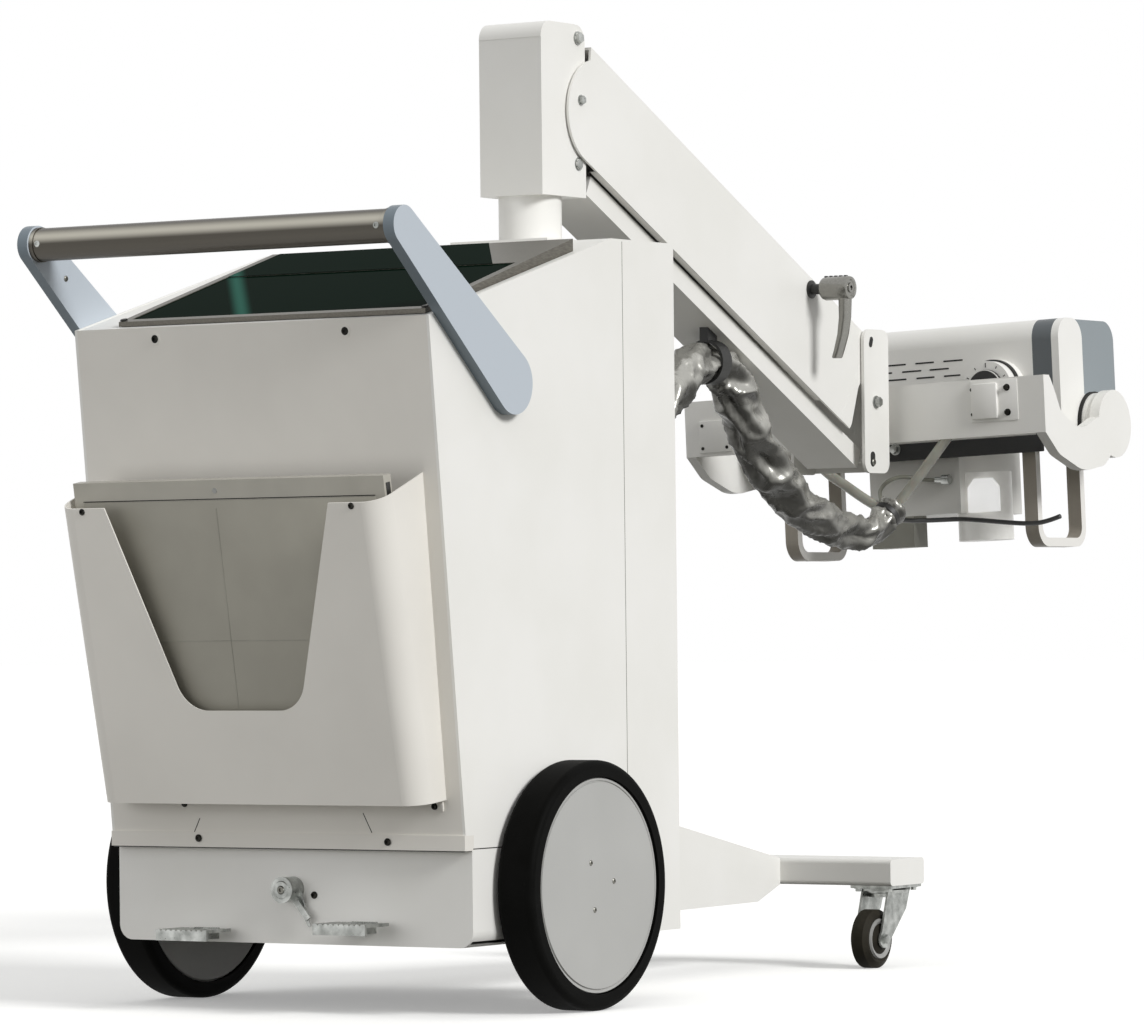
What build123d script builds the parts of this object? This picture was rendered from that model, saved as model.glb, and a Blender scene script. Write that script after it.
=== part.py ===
from build123d import *
import os
from math import atan2, cos, degrees, hypot, pi, radians, sin, tan

# Mobile x-ray machine: wheeled cabinet, swivelling column head, parallelogram arm, rolling yoke and
# tilting tube head. X runs forward to the tube head, Y to the left, Z up from the floor.
# Lengths are in millimetres. X counts from the rear axle; OFFSET_X moves the whole machine so that the
# origin is under the middle of its outline.

# Running clearance between a pin and its bore
RUN = 0.05

# Cabinet
CAB_HALF = 275.0
SHEET = 4.0
BASE_Z = 88.0
DECK_Z = 209.0
FLANGE_Z = 228.0
REAR_LOW_X = -214.0
REAR_TOP_X = -283.0
REAR_TOP_Z = 869.0
KNEE_X = 132.0
SEAM_X = 157.0
FRONT_X = 281.0
CAB_TOP_Z = 983.0
BASE_REAR_X = -200.0
BASE_ROUND = 20.0
POWER_LONG = 120.0
POWER_HALF = 190.0
POWER_TALL = 200.0

# Screen frame on the sloping deck: a wedge that stands a little steeper than the deck
SCREEN_RIGHT_INSET = 13.0
SCREEN_LEFT_INSET = 62.0
SCREEN_REAR = 12.0
SCREEN_LONG = 333.0
SCREEN_REAR_TALL = 6.0
SCREEN_FRONT_TALL = 16.0
SCREEN_RAIL = 12.0
GLASS_THICK = 4.0
GLASS_SUNK = 1.0
SHELF_LONG = 120.0

# Push handle
GRIP_X = -354.0
GRIP_Z = 975.5
GRIP_R = 21.0
HANDLE_R = 24.5
HANDLE_FOOT_X = -118.0
HANDLE_FOOT_Z = 790.0
HANDLE_FOOT_R = 40.0
HANDLE_THICK = 16.0

# Detector pocket, measured up along the leaning rear panel and out from it
POCKET_Z = 272.0
POCKET_HALF = 250.0
POCKET_LIP = 380.0
POCKET_EARS = 407.0
POCKET_DEEP_LOW = 56.0
POCKET_DEEP_TOP = 98.0
POCKET_ROUND = 28.0
POCKET_SHEET = 2.0
CUT_TOP_HALF = 182.0
CUT_LOW_HALF = 88.0
CUT_FLOOR = 120.0
CUT_ROUND = 45.0

# Detector
PANEL_WIDTH = 480.0
PANEL_TALL = 409.0
PANEL_THICK = 16.0
PANEL_OUT = 46.0
PANEL_LEAN = 3.6

# Brake pedals and latch on the rear of the base
PEDAL_WIDTH = 80.0
PEDAL_LONG = 52.0
PEDAL_PLATE = 4.0
PEDAL_RIB = 14.0
PEDAL_OUT = 10.0
PEDAL_GROOVES = 9
KNOB_Y = -2.0
KNOB_Z = 157.0
KNOB_R = 16.0
KNOB_LONG = 26.0

# Rear wheels
WHEEL_R = 158.0
WHEEL_GAP = 5.0
TYRE_WIDTH = 54.0
TYRE_ROUND = 9.0
RIM_R = 137.0
RIM_LIP = 12.0
DISC_WIDTH = 50.0
DISC_DISH = 12.0
HUB_CAP_R = 34.0
AXLE_R = 12.0

# Front leg and crossbeam
LEG_HALF = 60.0
LEG_ROOT_Z = 277.0
LEG_HEEL_X = 827.0
LEG_HEEL_Z = 93.0
BEAM_X = 935.0
BEAM_DEPTH = 94.0
BEAM_HALF = 240.0
BEAM_LOW = 115.0
BEAM_TALL = 37.0
BEAM_ROUND = 6.0

# Casters
CASTER_Y = 205.0
CASTER_R = 41.0
CASTER_TRAIL = 42.0
CASTER_WIDTH = 30.0
CASTER_HUB_R = 26.0
CASTER_PLATE = 84.0
CASTER_PLATE_WIDE = 66.0
CASTER_SHEET = 4.0
CASTER_RACE_R = 30.0
CASTER_RACE = 12.0
CASTER_PIN_R = 5.0
CHEEK_THICK = 3.0
CHEEK_GAP = 4.0
KING_R = 6.0

# Column
COLUMN_X = 358.0
COLUMN_R = 42.5
HOUSING_FRONT = 436.0
HOUSING_HALF = 78.0
HOUSING_TOP = 1000.0
SPIGOT_R = 22.0
SPIGOT_LONG = 90.0
SWIVEL_GAP = 2.0
HEAD_REAR = 313.0
HEAD_FRONT = 420.0
HEAD_HALF = 50.0
HEAD_Z = 1061.0
HEAD_TOP = 1294.0
HEAD_ROUND = 22.0
HEAD_WALL = 6.0

# Parallelogram arm: two pins on the head, two on the end bracket
PIN_X = 402.0
PIN_TOP_Z = 1276.0
PIN_GAP = 170.0
ARM_REACH = 764.0
ARM_DROP = 384.0
PIN_R = 7.0
COVER_GAP = 2.5
COVER_SHEET = 3.5
COVER_ABOVE = 1.5
COVER_TALL = 144.5
COVER_LOBE = 80.0
COVER_WEB = 27.0
COVER_NOSE = 18.0
COVER_BACK = 20.0
TONGUE_THICK = 8.0
TONGUE_INSET = 10.0
BOSS_R = 11.0
LINK_HALF = 42.0
LINK_TALL = 28.0
LINK_LOW = 7.5
LINK_START = 44.0
LINK_END = 12.0
LINK_TONGUE = 20.0

# Clamp lever on the right side of the arm
LEVER_ALONG = 0.788
LEVER_DOWN = 13.8
LEVER_R = 15.0
LEVER_LONG = 48.0
LEVER_STUD = 9.0
LEVER_STUD_R = 9.0
LEVER_DROP = 100.0
LEVER_GRIP = 20.0

# End bracket
BRACKET_GAP = 2.0
BRACKET_SHEET = 5.0
BRACKET_BACK = 32.0
BRACKET_AHEAD = 38.0
BRACKET_WALL = 8.0
BRACKET_ABOVE = 17.0
BRACKET_BELOW = 22.0
BRACKET_ROUND = 16.0

# Yoke, seen with its roll taken out
ROLL = 2.15
ROLL_GAP = 28.0
ROLL_UP = 63.0
ROLL_R = 26.0
YOKE_SHEET = 18.0
YOKE_TALL = 83.0
YOKE_ROUND = 6.0
LUG_THICK = 16.0
PIVOT_AHEAD = 214.0
PIVOT_DROP = 25.0
PIVOT_R = 50.0
HUB_GAP = 1.0

# Tube head, measured from the tilt pivot
TUBE_DEPTH = 194.0
TUBE_ABOVE = 157.0
TUBE_BELOW = 20.0
TUBE_HALF = 226.0
TUBE_ROUND = 30.0
TUBE_LOW_ROUND = 10.0
CAP_LONG = 32.0
PAD_WIDTH = 73.0
PAD_THICK = 12.0
HUB_R = 47.0
HUB_LONG = 31.0
DIAL_Y = -168.0
DIAL_UP = 57.0
DIAL_BASE_R = 44.0
DIAL_R = 41.0
DIAL_KNOB_R = 28.0
DIAL_OUT = 45.0
COLL_BACK = 74.0
COLL_AHEAD = 113.0
COLL_LEFT = 72.0
COLL_RIGHT = 82.0
COLL_BELOW = 120.0
RAIL_LONG = 40.0
RAIL_BELOW = 166.0
LAMP_BACK = 18.0
LAMP_SIDE = 92.0
LAMP_R = 41.0
LAMP_BELOW = 161.0
LAMP_RISE = 60.0
STRAP_INSET = 20.0
STRAP_WIDTH = 22.0
STRAP_THICK = 13.0
STRAP_BACK = 85.0
STRAP_AHEAD = 62.0
STRAP_BELOW = 176.5
STRAP_ROUND = 30.0

# Cables: a sleeve from the column housing through a hanger under the arm to a tie, then its leads
SLEEVE_R = 27.0
SLEEVE_Y = -20.0
GLAND_Z = 735.0
GLAND_LONG = 38.0
GLAND_R = 34.0
HANG_ALONG = 0.4895
HANG_DROP = 43.0
HANG_RUN = 26.0
HANGER_GAP = 0.5
HANGER_SHEET = 4.0
HANGER_WIDE = 24.0
HANGER_NECK = 14.0
TIE_LONG = 22.0
TIE_LOW = 150.0
TIE_SIDE = 16.0
LEAD_R = 7.5
WIRE_R = 3.5
SIGNAL_R = 3.0
PLUG_R = 7.5
PLUG_LONG = 24.0

PIN_LOW_Z = PIN_TOP_Z - PIN_GAP
TIP_X = PIN_X + ARM_REACH
TIP_TOP_Z = PIN_TOP_Z - ARM_DROP
TIP_LOW_Z = PIN_LOW_Z - ARM_DROP
ARM_ANGLE = degrees(atan2(ARM_DROP, ARM_REACH))
ARM_LENGTH = hypot(ARM_REACH, ARM_DROP)
LEAN = degrees(atan2(REAR_LOW_X - REAR_TOP_X, REAR_TOP_Z - FLANGE_Z))
DECK_SLOPE = degrees(atan2(CAB_TOP_Z - REAR_TOP_Z, KNEE_X - REAR_TOP_X))
WHEEL_Y = CAB_HALF + WHEEL_GAP + TYRE_WIDTH / 2
COVER_INNER = HEAD_HALF + COVER_GAP
COVER_HALF = COVER_INNER + COVER_SHEET
BRACKET_INNER = COVER_HALF + BRACKET_GAP
BRACKET_HALF = BRACKET_INNER + BRACKET_SHEET
BRACKET_FRONT = TIP_X + BRACKET_AHEAD
YOKE_X = BRACKET_FRONT + ROLL_GAP
YOKE_Z = TIP_LOW_Z + ROLL_UP
PIVOT_X = YOKE_X + PIVOT_AHEAD
PIVOT_Z = YOKE_Z - PIVOT_DROP
CAP_HALF = TUBE_HALF + CAP_LONG
LUG_INNER = CAP_HALF + HUB_LONG + HUB_GAP
YOKE_HALF = LUG_INNER + LUG_THICK
TUBE_REAR = PIVOT_X - TUBE_DEPTH / 2
TUBE_FRONT = PIVOT_X + TUBE_DEPTH / 2
TUBE_TOP = PIVOT_Z + TUBE_ABOVE
TUBE_LOW = PIVOT_Z - TUBE_BELOW
COLL_LOW = PIVOT_Z - COLL_BELOW
STRAP_Y = TUBE_HALF - STRAP_INSET
OFFSET_X = -((GRIP_X - HANDLE_R) + (PIVOT_X + max(TUBE_DEPTH / 2, COLL_AHEAD))) / 2

os.makedirs("parts", exist_ok=True)


def save(shape, name):
    export_step(Pos(OFFSET_X, 0, 0) * shape, "parts/" + name + ".step")


def save_both(shape, name):
    save(Compound([shape, mirror(shape, Plane.XZ)]), name)


def save_pair(shape, name):
    save(shape, name + "_left")
    save(mirror(shape, Plane.XZ), name + "_right")


def block(x0, x1, y0, y1, z0, z1):
    return Pos((x0 + x1) / 2, (y0 + y1) / 2, (z0 + z1) / 2) * Box(x1 - x0, y1 - y0, z1 - z0)


def plate(points, y0, y1, rounds=0.0):
    face = Polygon(*points, align=None)
    if rounds:
        face = fillet(face.vertices(), rounds)
    return extrude(Plane.XZ.offset(-y1) * face, y1 - y0, dir=(0, -1, 0))


def rod(x, z, radius, y0, y1):
    return Pos(x, (y0 + y1) / 2, z) * Rot(X=90) * Cylinder(radius, y1 - y0)


def post(x, y, radius, z0, z1):
    return Pos(x, y, (z0 + z1) / 2) * Cylinder(radius, z1 - z0)


def stub(y, z, radius, x0, x1):
    return Pos((x0 + x1) / 2, y, z) * Rot(Y=90) * Cylinder(radius, x1 - x0)


def turned(profile, x, z):
    """Revolve an (outward y, radius) profile about the cross axis at x, z."""
    face = Plane.YZ * Polygon(*profile, align=None)
    return Pos(x, 0, z) * revolve(face, Axis.Y)


def rear_x(z):
    return REAR_LOW_X - (z - FLANGE_Z) * tan(radians(LEAN))


def deck_z(x):
    return REAR_TOP_Z + (x - REAR_TOP_X) * tan(radians(DECK_SLOPE))


# Base box: tray open at the top, lower long corners rounded.
base = block(BASE_REAR_X, SEAM_X, -CAB_HALF, CAB_HALF, BASE_Z, DECK_Z)
base = fillet(base.edges().filter_by(Axis.X).group_by(Axis.Z)[0], BASE_ROUND)
base -= block(
    BASE_REAR_X + SHEET,
    SEAM_X + SHEET,
    -CAB_HALF + SHEET,
    CAB_HALF - SHEET,
    BASE_Z + SHEET,
    DECK_Z + SHEET,
)
base -= rod(0, WHEEL_R, AXLE_R, -CAB_HALF - SHEET, CAB_HALF + SHEET)
save(base, "base_box")

flange = block(rear_x(DECK_Z) - SHEET, BASE_REAR_X + SHEET, -CAB_HALF, CAB_HALF, DECK_Z, FLANGE_Z)
save(flange, "base_flange")

axle_end = WHEEL_Y + DISC_WIDTH / 2 - DISC_DISH
save(rod(0, WHEEL_R, AXLE_R, -axle_end, axle_end), "rear_axle")

power_front = SEAM_X - SHEET
power_low = BASE_Z + SHEET
power = block(
    power_front - POWER_LONG, power_front, -POWER_HALF, POWER_HALF, power_low, power_low + POWER_TALL
)
save(power, "power_block")

# Cabinet panels
rear_panel = plate(
    [
        (rear_x(FLANGE_Z), FLANGE_Z),
        (rear_x(FLANGE_Z) + SHEET, FLANGE_Z),
        (REAR_TOP_X + SHEET, REAR_TOP_Z),
        (REAR_TOP_X, REAR_TOP_Z),
    ],
    -CAB_HALF + SHEET,
    CAB_HALF - SHEET,
)
save(rear_panel, "cabinet_rear_panel")

side = plate(
    [
        (rear_x(FLANGE_Z), FLANGE_Z),
        (BASE_REAR_X + SHEET, FLANGE_Z),
        (BASE_REAR_X + SHEET, DECK_Z),
        (SEAM_X, DECK_Z),
        (SEAM_X, CAB_TOP_Z),
        (KNEE_X, CAB_TOP_Z),
        (REAR_TOP_X, REAR_TOP_Z),
    ],
    CAB_HALF - SHEET,
    CAB_HALF,
)
save_pair(side, "cabinet_side")

front = block(SEAM_X, FRONT_X, -CAB_HALF, CAB_HALF, BASE_Z, CAB_TOP_Z)
front -= block(
    SEAM_X - SHEET,
    FRONT_X - SHEET,
    -CAB_HALF + SHEET,
    CAB_HALF - SHEET,
    BASE_Z + SHEET,
    CAB_TOP_Z - SHEET,
)
save(front, "cabinet_front_cover")

deck = plate(
    [
        (REAR_TOP_X + SHEET, REAR_TOP_Z),
        (KNEE_X, CAB_TOP_Z),
        (SEAM_X, CAB_TOP_Z),
        (SEAM_X, CAB_TOP_Z - SHEET),
        (KNEE_X, CAB_TOP_Z - SHEET),
        (rear_x(REAR_TOP_Z - SHEET) + SHEET, REAR_TOP_Z - SHEET),
    ],
    -CAB_HALF + SHEET,
    CAB_HALF - SHEET,
)
save(deck, "cabinet_top")

# Screen: a wedge-shaped rail frame with a plain shelf in front of the sunk dark glass
screen_x0 = REAR_TOP_X + SCREEN_REAR
screen_x1 = screen_x0 + SCREEN_LONG
screen_y0 = SCREEN_RIGHT_INSET - CAB_HALF
screen_y1 = CAB_HALF - SCREEN_LEFT_INSET
screen_z0 = deck_z(screen_x0) + SCREEN_REAR_TALL
screen_z1 = deck_z(screen_x1) + SCREEN_FRONT_TALL
wedge = plate(
    [
        (screen_x0, deck_z(screen_x0)),
        (screen_x1, deck_z(screen_x1)),
        (screen_x1, screen_z1),
        (screen_x0, screen_z0),
    ],
    screen_y0,
    screen_y1,
)
screen_slope = degrees(atan2(screen_z1 - screen_z0, SCREEN_LONG))
screen_plane = Pos(screen_x0, 0, screen_z0) * Rot(Y=-screen_slope)
screen_run = hypot(SCREEN_LONG, screen_z1 - screen_z0)
glass_y0 = screen_y0 + SCREEN_RAIL
glass_y1 = screen_y1 - SCREEN_RAIL
glass_end = screen_run - SHELF_LONG
glass_top = -GLASS_SUNK
glass = block(SCREEN_RAIL, glass_end, glass_y0, glass_y1, glass_top - GLASS_THICK, glass_top)
well = block(SCREEN_RAIL, glass_end, glass_y0, glass_y1, glass_top - GLASS_THICK, SHEET)
save(wedge - screen_plane * well, "screen_frame")
save(screen_plane * glass, "screen_glass")

# Push handle: two plates on the cabinet sides, narrow at the grip and wide at the foot, and a round bar
handle_run = hypot(HANDLE_FOOT_X - GRIP_X, GRIP_Z - HANDLE_FOOT_Z)
along_x = (HANDLE_FOOT_X - GRIP_X) / handle_run
along_z = (HANDLE_FOOT_Z - GRIP_Z) / handle_run
flare_sin = (HANDLE_FOOT_R - HANDLE_R) / handle_run
flare_cos = (1 - flare_sin**2) ** 0.5
tangents = []
for x, z, radius, side in (
    (GRIP_X, GRIP_Z, HANDLE_R, 1),
    (HANDLE_FOOT_X, HANDLE_FOOT_Z, HANDLE_FOOT_R, 1),
    (HANDLE_FOOT_X, HANDLE_FOOT_Z, HANDLE_FOOT_R, -1),
    (GRIP_X, GRIP_Z, HANDLE_R, -1),
):
    out_x = -flare_sin * along_x - side * flare_cos * along_z
    out_z = -flare_sin * along_z + side * flare_cos * along_x
    tangents.append((x + radius * out_x, z + radius * out_z))
handle_out = CAB_HALF + HANDLE_THICK
handle = plate(tangents, CAB_HALF, handle_out)
handle += rod(GRIP_X, GRIP_Z, HANDLE_R, CAB_HALF, handle_out)
handle += rod(HANDLE_FOOT_X, HANDLE_FOOT_Z, HANDLE_FOOT_R, CAB_HALF, handle_out)
save_both(handle, "handle_plates")
save(rod(GRIP_X, GRIP_Z, GRIP_R, -CAB_HALF, CAB_HALF), "handle_bar")

# Detector pocket: a sheet tray that flares upwards, its front cut down in a wide round-cornered mouth
wall = Pos(rear_x(POCKET_Z), 0, POCKET_Z) * Rot(Y=-LEAN)


def tray(inset, above):
    flare = (POCKET_DEEP_TOP - POCKET_DEEP_LOW) / POCKET_LIP
    top = POCKET_LIP + above
    half = POCKET_HALF - inset
    shape = plate(
        [
            (above, inset),
            (above, POCKET_EARS + above),
            (-POCKET_DEEP_LOW - flare * top + inset, top),
            (-POCKET_DEEP_LOW - flare * inset + inset, inset),
        ],
        -half,
        half,
    )
    slanted = shape.faces().sort_by(Axis.X)[0].edges()
    sides = [edge for edge in slanted if abs(edge.center().Y) > half - 1]
    return fillet(sides, POCKET_ROUND - inset)


mouth = Polygon(
    (-CUT_TOP_HALF, POCKET_EARS),
    (-CUT_LOW_HALF, CUT_FLOOR),
    (CUT_LOW_HALF, CUT_FLOOR),
    (CUT_TOP_HALF, POCKET_EARS),
    align=None,
)
mouth = fillet(mouth.vertices().group_by(Axis.Y)[0], CUT_ROUND)
mouth = extrude(Plane.YZ.offset(-2 * POCKET_DEEP_TOP) * mouth, 2 * POCKET_DEEP_TOP - POCKET_SHEET)
save(wall * (tray(0, 0) - tray(POCKET_SHEET, POCKET_SHEET) - mouth), "detector_pocket")

panel = block(0, PANEL_THICK, -PANEL_WIDTH / 2, PANEL_WIDTH / 2, 0, PANEL_TALL)
panel = Pos(-PANEL_OUT, 0, POCKET_SHEET) * Rot(Y=-PANEL_LEAN) * panel
save(wall * panel, "detector_panel")

# Brake pedals: ribbed tread plates on a bent arm. Columns: name, sideways place, height of the tread.
for name, y, z in (("left", 130.0, 106.0), ("right", -115.0, 118.0)):
    tread_x1 = BASE_REAR_X - PEDAL_OUT
    tread_x0 = tread_x1 - PEDAL_LONG
    half = PEDAL_WIDTH / 2
    pedal = block(tread_x0, tread_x1, y - half, y + half, z - PEDAL_PLATE, z)
    pedal += block(tread_x0, tread_x0 + PEDAL_PLATE, y - half, y + half, z - PEDAL_RIB, z)
    pedal += block(tread_x0, BASE_REAR_X, y - PEDAL_RIB, y + PEDAL_RIB, z - PEDAL_RIB, z - PEDAL_PLATE)
    pitch = PEDAL_WIDTH / (PEDAL_GROOVES + 1)
    for i in range(PEDAL_GROOVES):
        groove_y = y - half + pitch * (i + 1)
        pedal -= Pos(0, groove_y, z) * Rot(X=45) * block(tread_x0 - 1, tread_x1 + 1, -1.5, 1.5, -1.5, 1.5)
    save(pedal, "brake_pedal_" + name)

# Latch: a round knob with a spring lever that hangs from it
latch = stub(KNOB_Y, KNOB_Z, KNOB_R, BASE_REAR_X - KNOB_LONG, BASE_REAR_X)
latch += Pos(0, KNOB_Y, KNOB_Z) * Rot(X=-40) * block(
    BASE_REAR_X - KNOB_LONG / 2, BASE_REAR_X - KNOB_LONG / 2 + PEDAL_PLATE, -4, 4, -3 * KNOB_R, 0
)
save(latch, "latch_knob")

# Rear wheels: solid tyre on a dished disc
tyre = rod(0, WHEEL_R, WHEEL_R, WHEEL_Y - TYRE_WIDTH / 2, WHEEL_Y + TYRE_WIDTH / 2)
tyre = fillet(tyre.edges(), TYRE_ROUND)
tyre -= rod(0, WHEEL_R, RIM_R, WHEEL_Y - TYRE_WIDTH, WHEEL_Y + TYRE_WIDTH)
save_pair(tyre, "tyre")
disc_in = WHEEL_Y - DISC_WIDTH / 2
disc_out = WHEEL_Y + DISC_WIDTH / 2
disc = turned(
    [
        (disc_in, 0),
        (disc_out, 0),
        (disc_out, HUB_CAP_R),
        (disc_out - DISC_DISH, HUB_CAP_R + DISC_DISH),
        (disc_out - DISC_DISH, RIM_R - RIM_LIP - DISC_DISH / 2),
        (disc_out, RIM_R - RIM_LIP),
        (disc_out, RIM_R),
        (disc_in, RIM_R),
    ],
    0,
    WHEEL_R,
)
disc -= rod(0, WHEEL_R, AXLE_R + RUN, disc_in - 1, disc_out - DISC_DISH)
save_pair(disc, "wheel_disc")

# Front leg and crossbeam
beam_rear = BEAM_X - BEAM_DEPTH / 2
beam_front = BEAM_X + BEAM_DEPTH / 2
beam_top = BEAM_LOW + BEAM_TALL
leg = plate(
    [
        (FRONT_X, BASE_Z),
        (LEG_HEEL_X, LEG_HEEL_Z),
        (beam_rear, BEAM_LOW),
        (beam_rear, beam_top),
        (FRONT_X, LEG_ROOT_Z),
    ],
    -LEG_HALF,
    LEG_HALF,
)
save(leg, "front_leg")
beam = block(beam_rear, beam_front, -BEAM_HALF, BEAM_HALF, BEAM_LOW, beam_top)
beam = fillet(beam.edges().filter_by(Axis.Y), BEAM_ROUND)
save(beam, "front_crossbeam")

# Casters: top plate and king pin on the beam; race, fork and wheel below
wheel_x = BEAM_X - CASTER_TRAIL
race_top = BEAM_LOW - CASTER_SHEET - 1
race_low = race_top - CASTER_RACE
top_plate = block(
    BEAM_X - CASTER_PLATE / 2,
    BEAM_X + CASTER_PLATE / 2,
    CASTER_Y - CASTER_PLATE_WIDE / 2,
    CASTER_Y + CASTER_PLATE_WIDE / 2,
    BEAM_LOW - CASTER_SHEET,
    BEAM_LOW,
)
top_plate += post(BEAM_X, CASTER_Y, KING_R, race_low, BEAM_LOW - CASTER_SHEET)
save_both(top_plate, "caster_plates")
cheek_in = CASTER_Y + CASTER_WIDTH / 2 + CHEEK_GAP
cheek_out = cheek_in + CHEEK_THICK
cheek = plate(
    [
        (BEAM_X - CASTER_RACE_R, race_top),
        (BEAM_X + CASTER_RACE_R, race_top),
        (BEAM_X + CASTER_RACE_R * 0.6, race_top - 2.4 * CASTER_RACE),
        (wheel_x + 2.5 * CASTER_PIN_R, CASTER_R - CASTER_PIN_R),
        (wheel_x - 2.5 * CASTER_PIN_R, CASTER_R - CASTER_PIN_R),
    ],
    cheek_in,
    cheek_out,
)
cheek += rod(wheel_x, CASTER_R, 2.5 * CASTER_PIN_R, cheek_in, cheek_out)
fork = cheek + Pos(0, 2 * CASTER_Y, 0) * mirror(cheek, Plane.XZ)
fork += block(
    BEAM_X - CASTER_RACE_R,
    BEAM_X + CASTER_RACE_R,
    2 * CASTER_Y - cheek_out,
    cheek_out,
    race_top - CHEEK_THICK,
    race_top,
)
fork += post(BEAM_X, CASTER_Y, CASTER_RACE_R * 0.8, race_low, race_top)
fork -= post(BEAM_X, CASTER_Y, KING_R + RUN, 0, BEAM_LOW)
pin_end = CASTER_WIDTH / 2 + CHEEK_GAP + CHEEK_THICK + 3
fork += rod(wheel_x, CASTER_R, CASTER_PIN_R, CASTER_Y - pin_end, CASTER_Y + pin_end)
save_pair(fork, "caster_fork")
tread_half = CASTER_WIDTH / 2
roller = turned(
    [
        (CASTER_Y - tread_half - 2, 0),
        (CASTER_Y + tread_half + 2, 0),
        (CASTER_Y + tread_half + 2, 2.2 * CASTER_PIN_R),
        (CASTER_Y + tread_half - 3, CASTER_HUB_R),
        (CASTER_Y + tread_half - 1, CASTER_R - 8),
        (CASTER_Y + tread_half - 6, CASTER_R),
        (CASTER_Y - tread_half + 6, CASTER_R),
        (CASTER_Y - tread_half + 1, CASTER_R - 8),
        (CASTER_Y - tread_half + 3, CASTER_HUB_R),
        (CASTER_Y - tread_half - 2, 2.2 * CASTER_PIN_R),
    ],
    wheel_x,
    CASTER_R,
)
roller -= rod(wheel_x, CASTER_R, CASTER_PIN_R + RUN, CASTER_Y - CASTER_WIDTH, CASTER_Y + CASTER_WIDTH)
save_pair(roller, "caster_wheel")

# Column housing, swivelling post and head
housing = block(FRONT_X, HOUSING_FRONT, -HOUSING_HALF, HOUSING_HALF, LEG_ROOT_Z, HOUSING_TOP)
housing -= post(COLUMN_X, 0, SPIGOT_R + RUN, HOUSING_TOP - SPIGOT_LONG - 1, HOUSING_TOP + 1)
save(housing, "column_housing")
column = post(COLUMN_X, 0, COLUMN_R, HOUSING_TOP + SWIVEL_GAP, HEAD_Z)
column += post(COLUMN_X, 0, SPIGOT_R, HOUSING_TOP - SPIGOT_LONG, HOUSING_TOP + SWIVEL_GAP)
save(column, "column_post")
head = block(HEAD_REAR, HEAD_FRONT, -HEAD_HALF, HEAD_HALF, HEAD_Z, HEAD_TOP)
head = fillet(head.edges().filter_by(Axis.Y).group_by(Axis.Z)[-1], HEAD_ROUND)
head -= block(
    HEAD_REAR + HEAD_WALL,
    HEAD_FRONT + 1,
    -HEAD_HALF + HEAD_WALL,
    HEAD_HALF - HEAD_WALL,
    HEAD_Z + HEAD_WALL,
    PIN_TOP_Z + BOSS_R + 2,
)
for z in (PIN_TOP_Z, PIN_LOW_Z):
    head += rod(PIN_X, z, PIN_R, -HEAD_HALF - 2, HEAD_HALF + 2)
save(head, "column_head")

# The arm's parts are drawn level from their rear pins, then turned down about them.
upper_pin = Pos(PIN_X, 0, PIN_TOP_Z) * Rot(Y=ARM_ANGLE)
lower_pin = Pos(PIN_X, 0, PIN_LOW_Z) * Rot(Y=ARM_ANGLE)

# Folded cover: channel open below, its side plates ending in a round lobe beside the head
lobe_r = COVER_TALL / 2
cover_low = COVER_ABOVE - COVER_TALL
lobe_v = COVER_ABOVE - lobe_r
nose = ARM_LENGTH + COVER_NOSE
cover = plate(
    [
        (COVER_WEB, COVER_ABOVE),
        (nose, COVER_ABOVE),
        (ARM_LENGTH - COVER_BACK, cover_low),
        (COVER_LOBE, cover_low),
        (COVER_LOBE, lobe_v),
        (COVER_WEB + 8, COVER_ABOVE - 0.3 * lobe_r),
    ],
    -COVER_HALF,
    COVER_HALF,
)
cover += rod(COVER_LOBE, lobe_v, lobe_r, -COVER_HALF, COVER_HALF)
under_web = COVER_ABOVE - COVER_SHEET
cover -= block(-lobe_r, nose + 1, -COVER_INNER, COVER_INNER, cover_low - 1, under_web)
cover -= block(ARM_LENGTH - COVER_NOSE, nose + 1, -COVER_INNER, COVER_INNER, cover_low, lobe_r)
tongue_out = HEAD_HALF - HEAD_WALL - TONGUE_INSET
tongue = plate(
    [(0, -BOSS_R), (2 * COVER_WEB, -2 * BOSS_R), (2 * COVER_WEB, under_web), (0, BOSS_R)],
    tongue_out - TONGUE_THICK,
    tongue_out,
)
tongue += rod(0, 0, BOSS_R, tongue_out - TONGUE_THICK, tongue_out)
cover += tongue
cover += mirror(tongue, Plane.XZ)
cover -= rod(0, 0, PIN_R + RUN, -HEAD_HALF, HEAD_HALF)
cover -= rod(ARM_LENGTH, 0, PIN_R + RUN, -COVER_HALF - 1, COVER_HALF + 1)
save(upper_pin * cover, "arm_cover")

# Lower link: box bar with a narrow tongue round each pin
link_top = LINK_TALL / 2 - LINK_LOW
link_low = -LINK_TALL / 2 - LINK_LOW
link = block(LINK_START, ARM_LENGTH - LINK_END, -LINK_HALF, LINK_HALF, link_low, link_top)
for pin_u, inner_u in ((0, LINK_START), (ARM_LENGTH, ARM_LENGTH - LINK_END)):
    link += plate(
        [(pin_u, BOSS_R), (inner_u, link_top), (inner_u, link_low), (pin_u, -BOSS_R)],
        -LINK_TONGUE,
        LINK_TONGUE,
    )
    link += rod(pin_u, 0, BOSS_R, -LINK_TONGUE, LINK_TONGUE)
    link -= rod(pin_u, 0, PIN_R + RUN, -LINK_HALF, LINK_HALF)
save(lower_pin * link, "lower_link")

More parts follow.
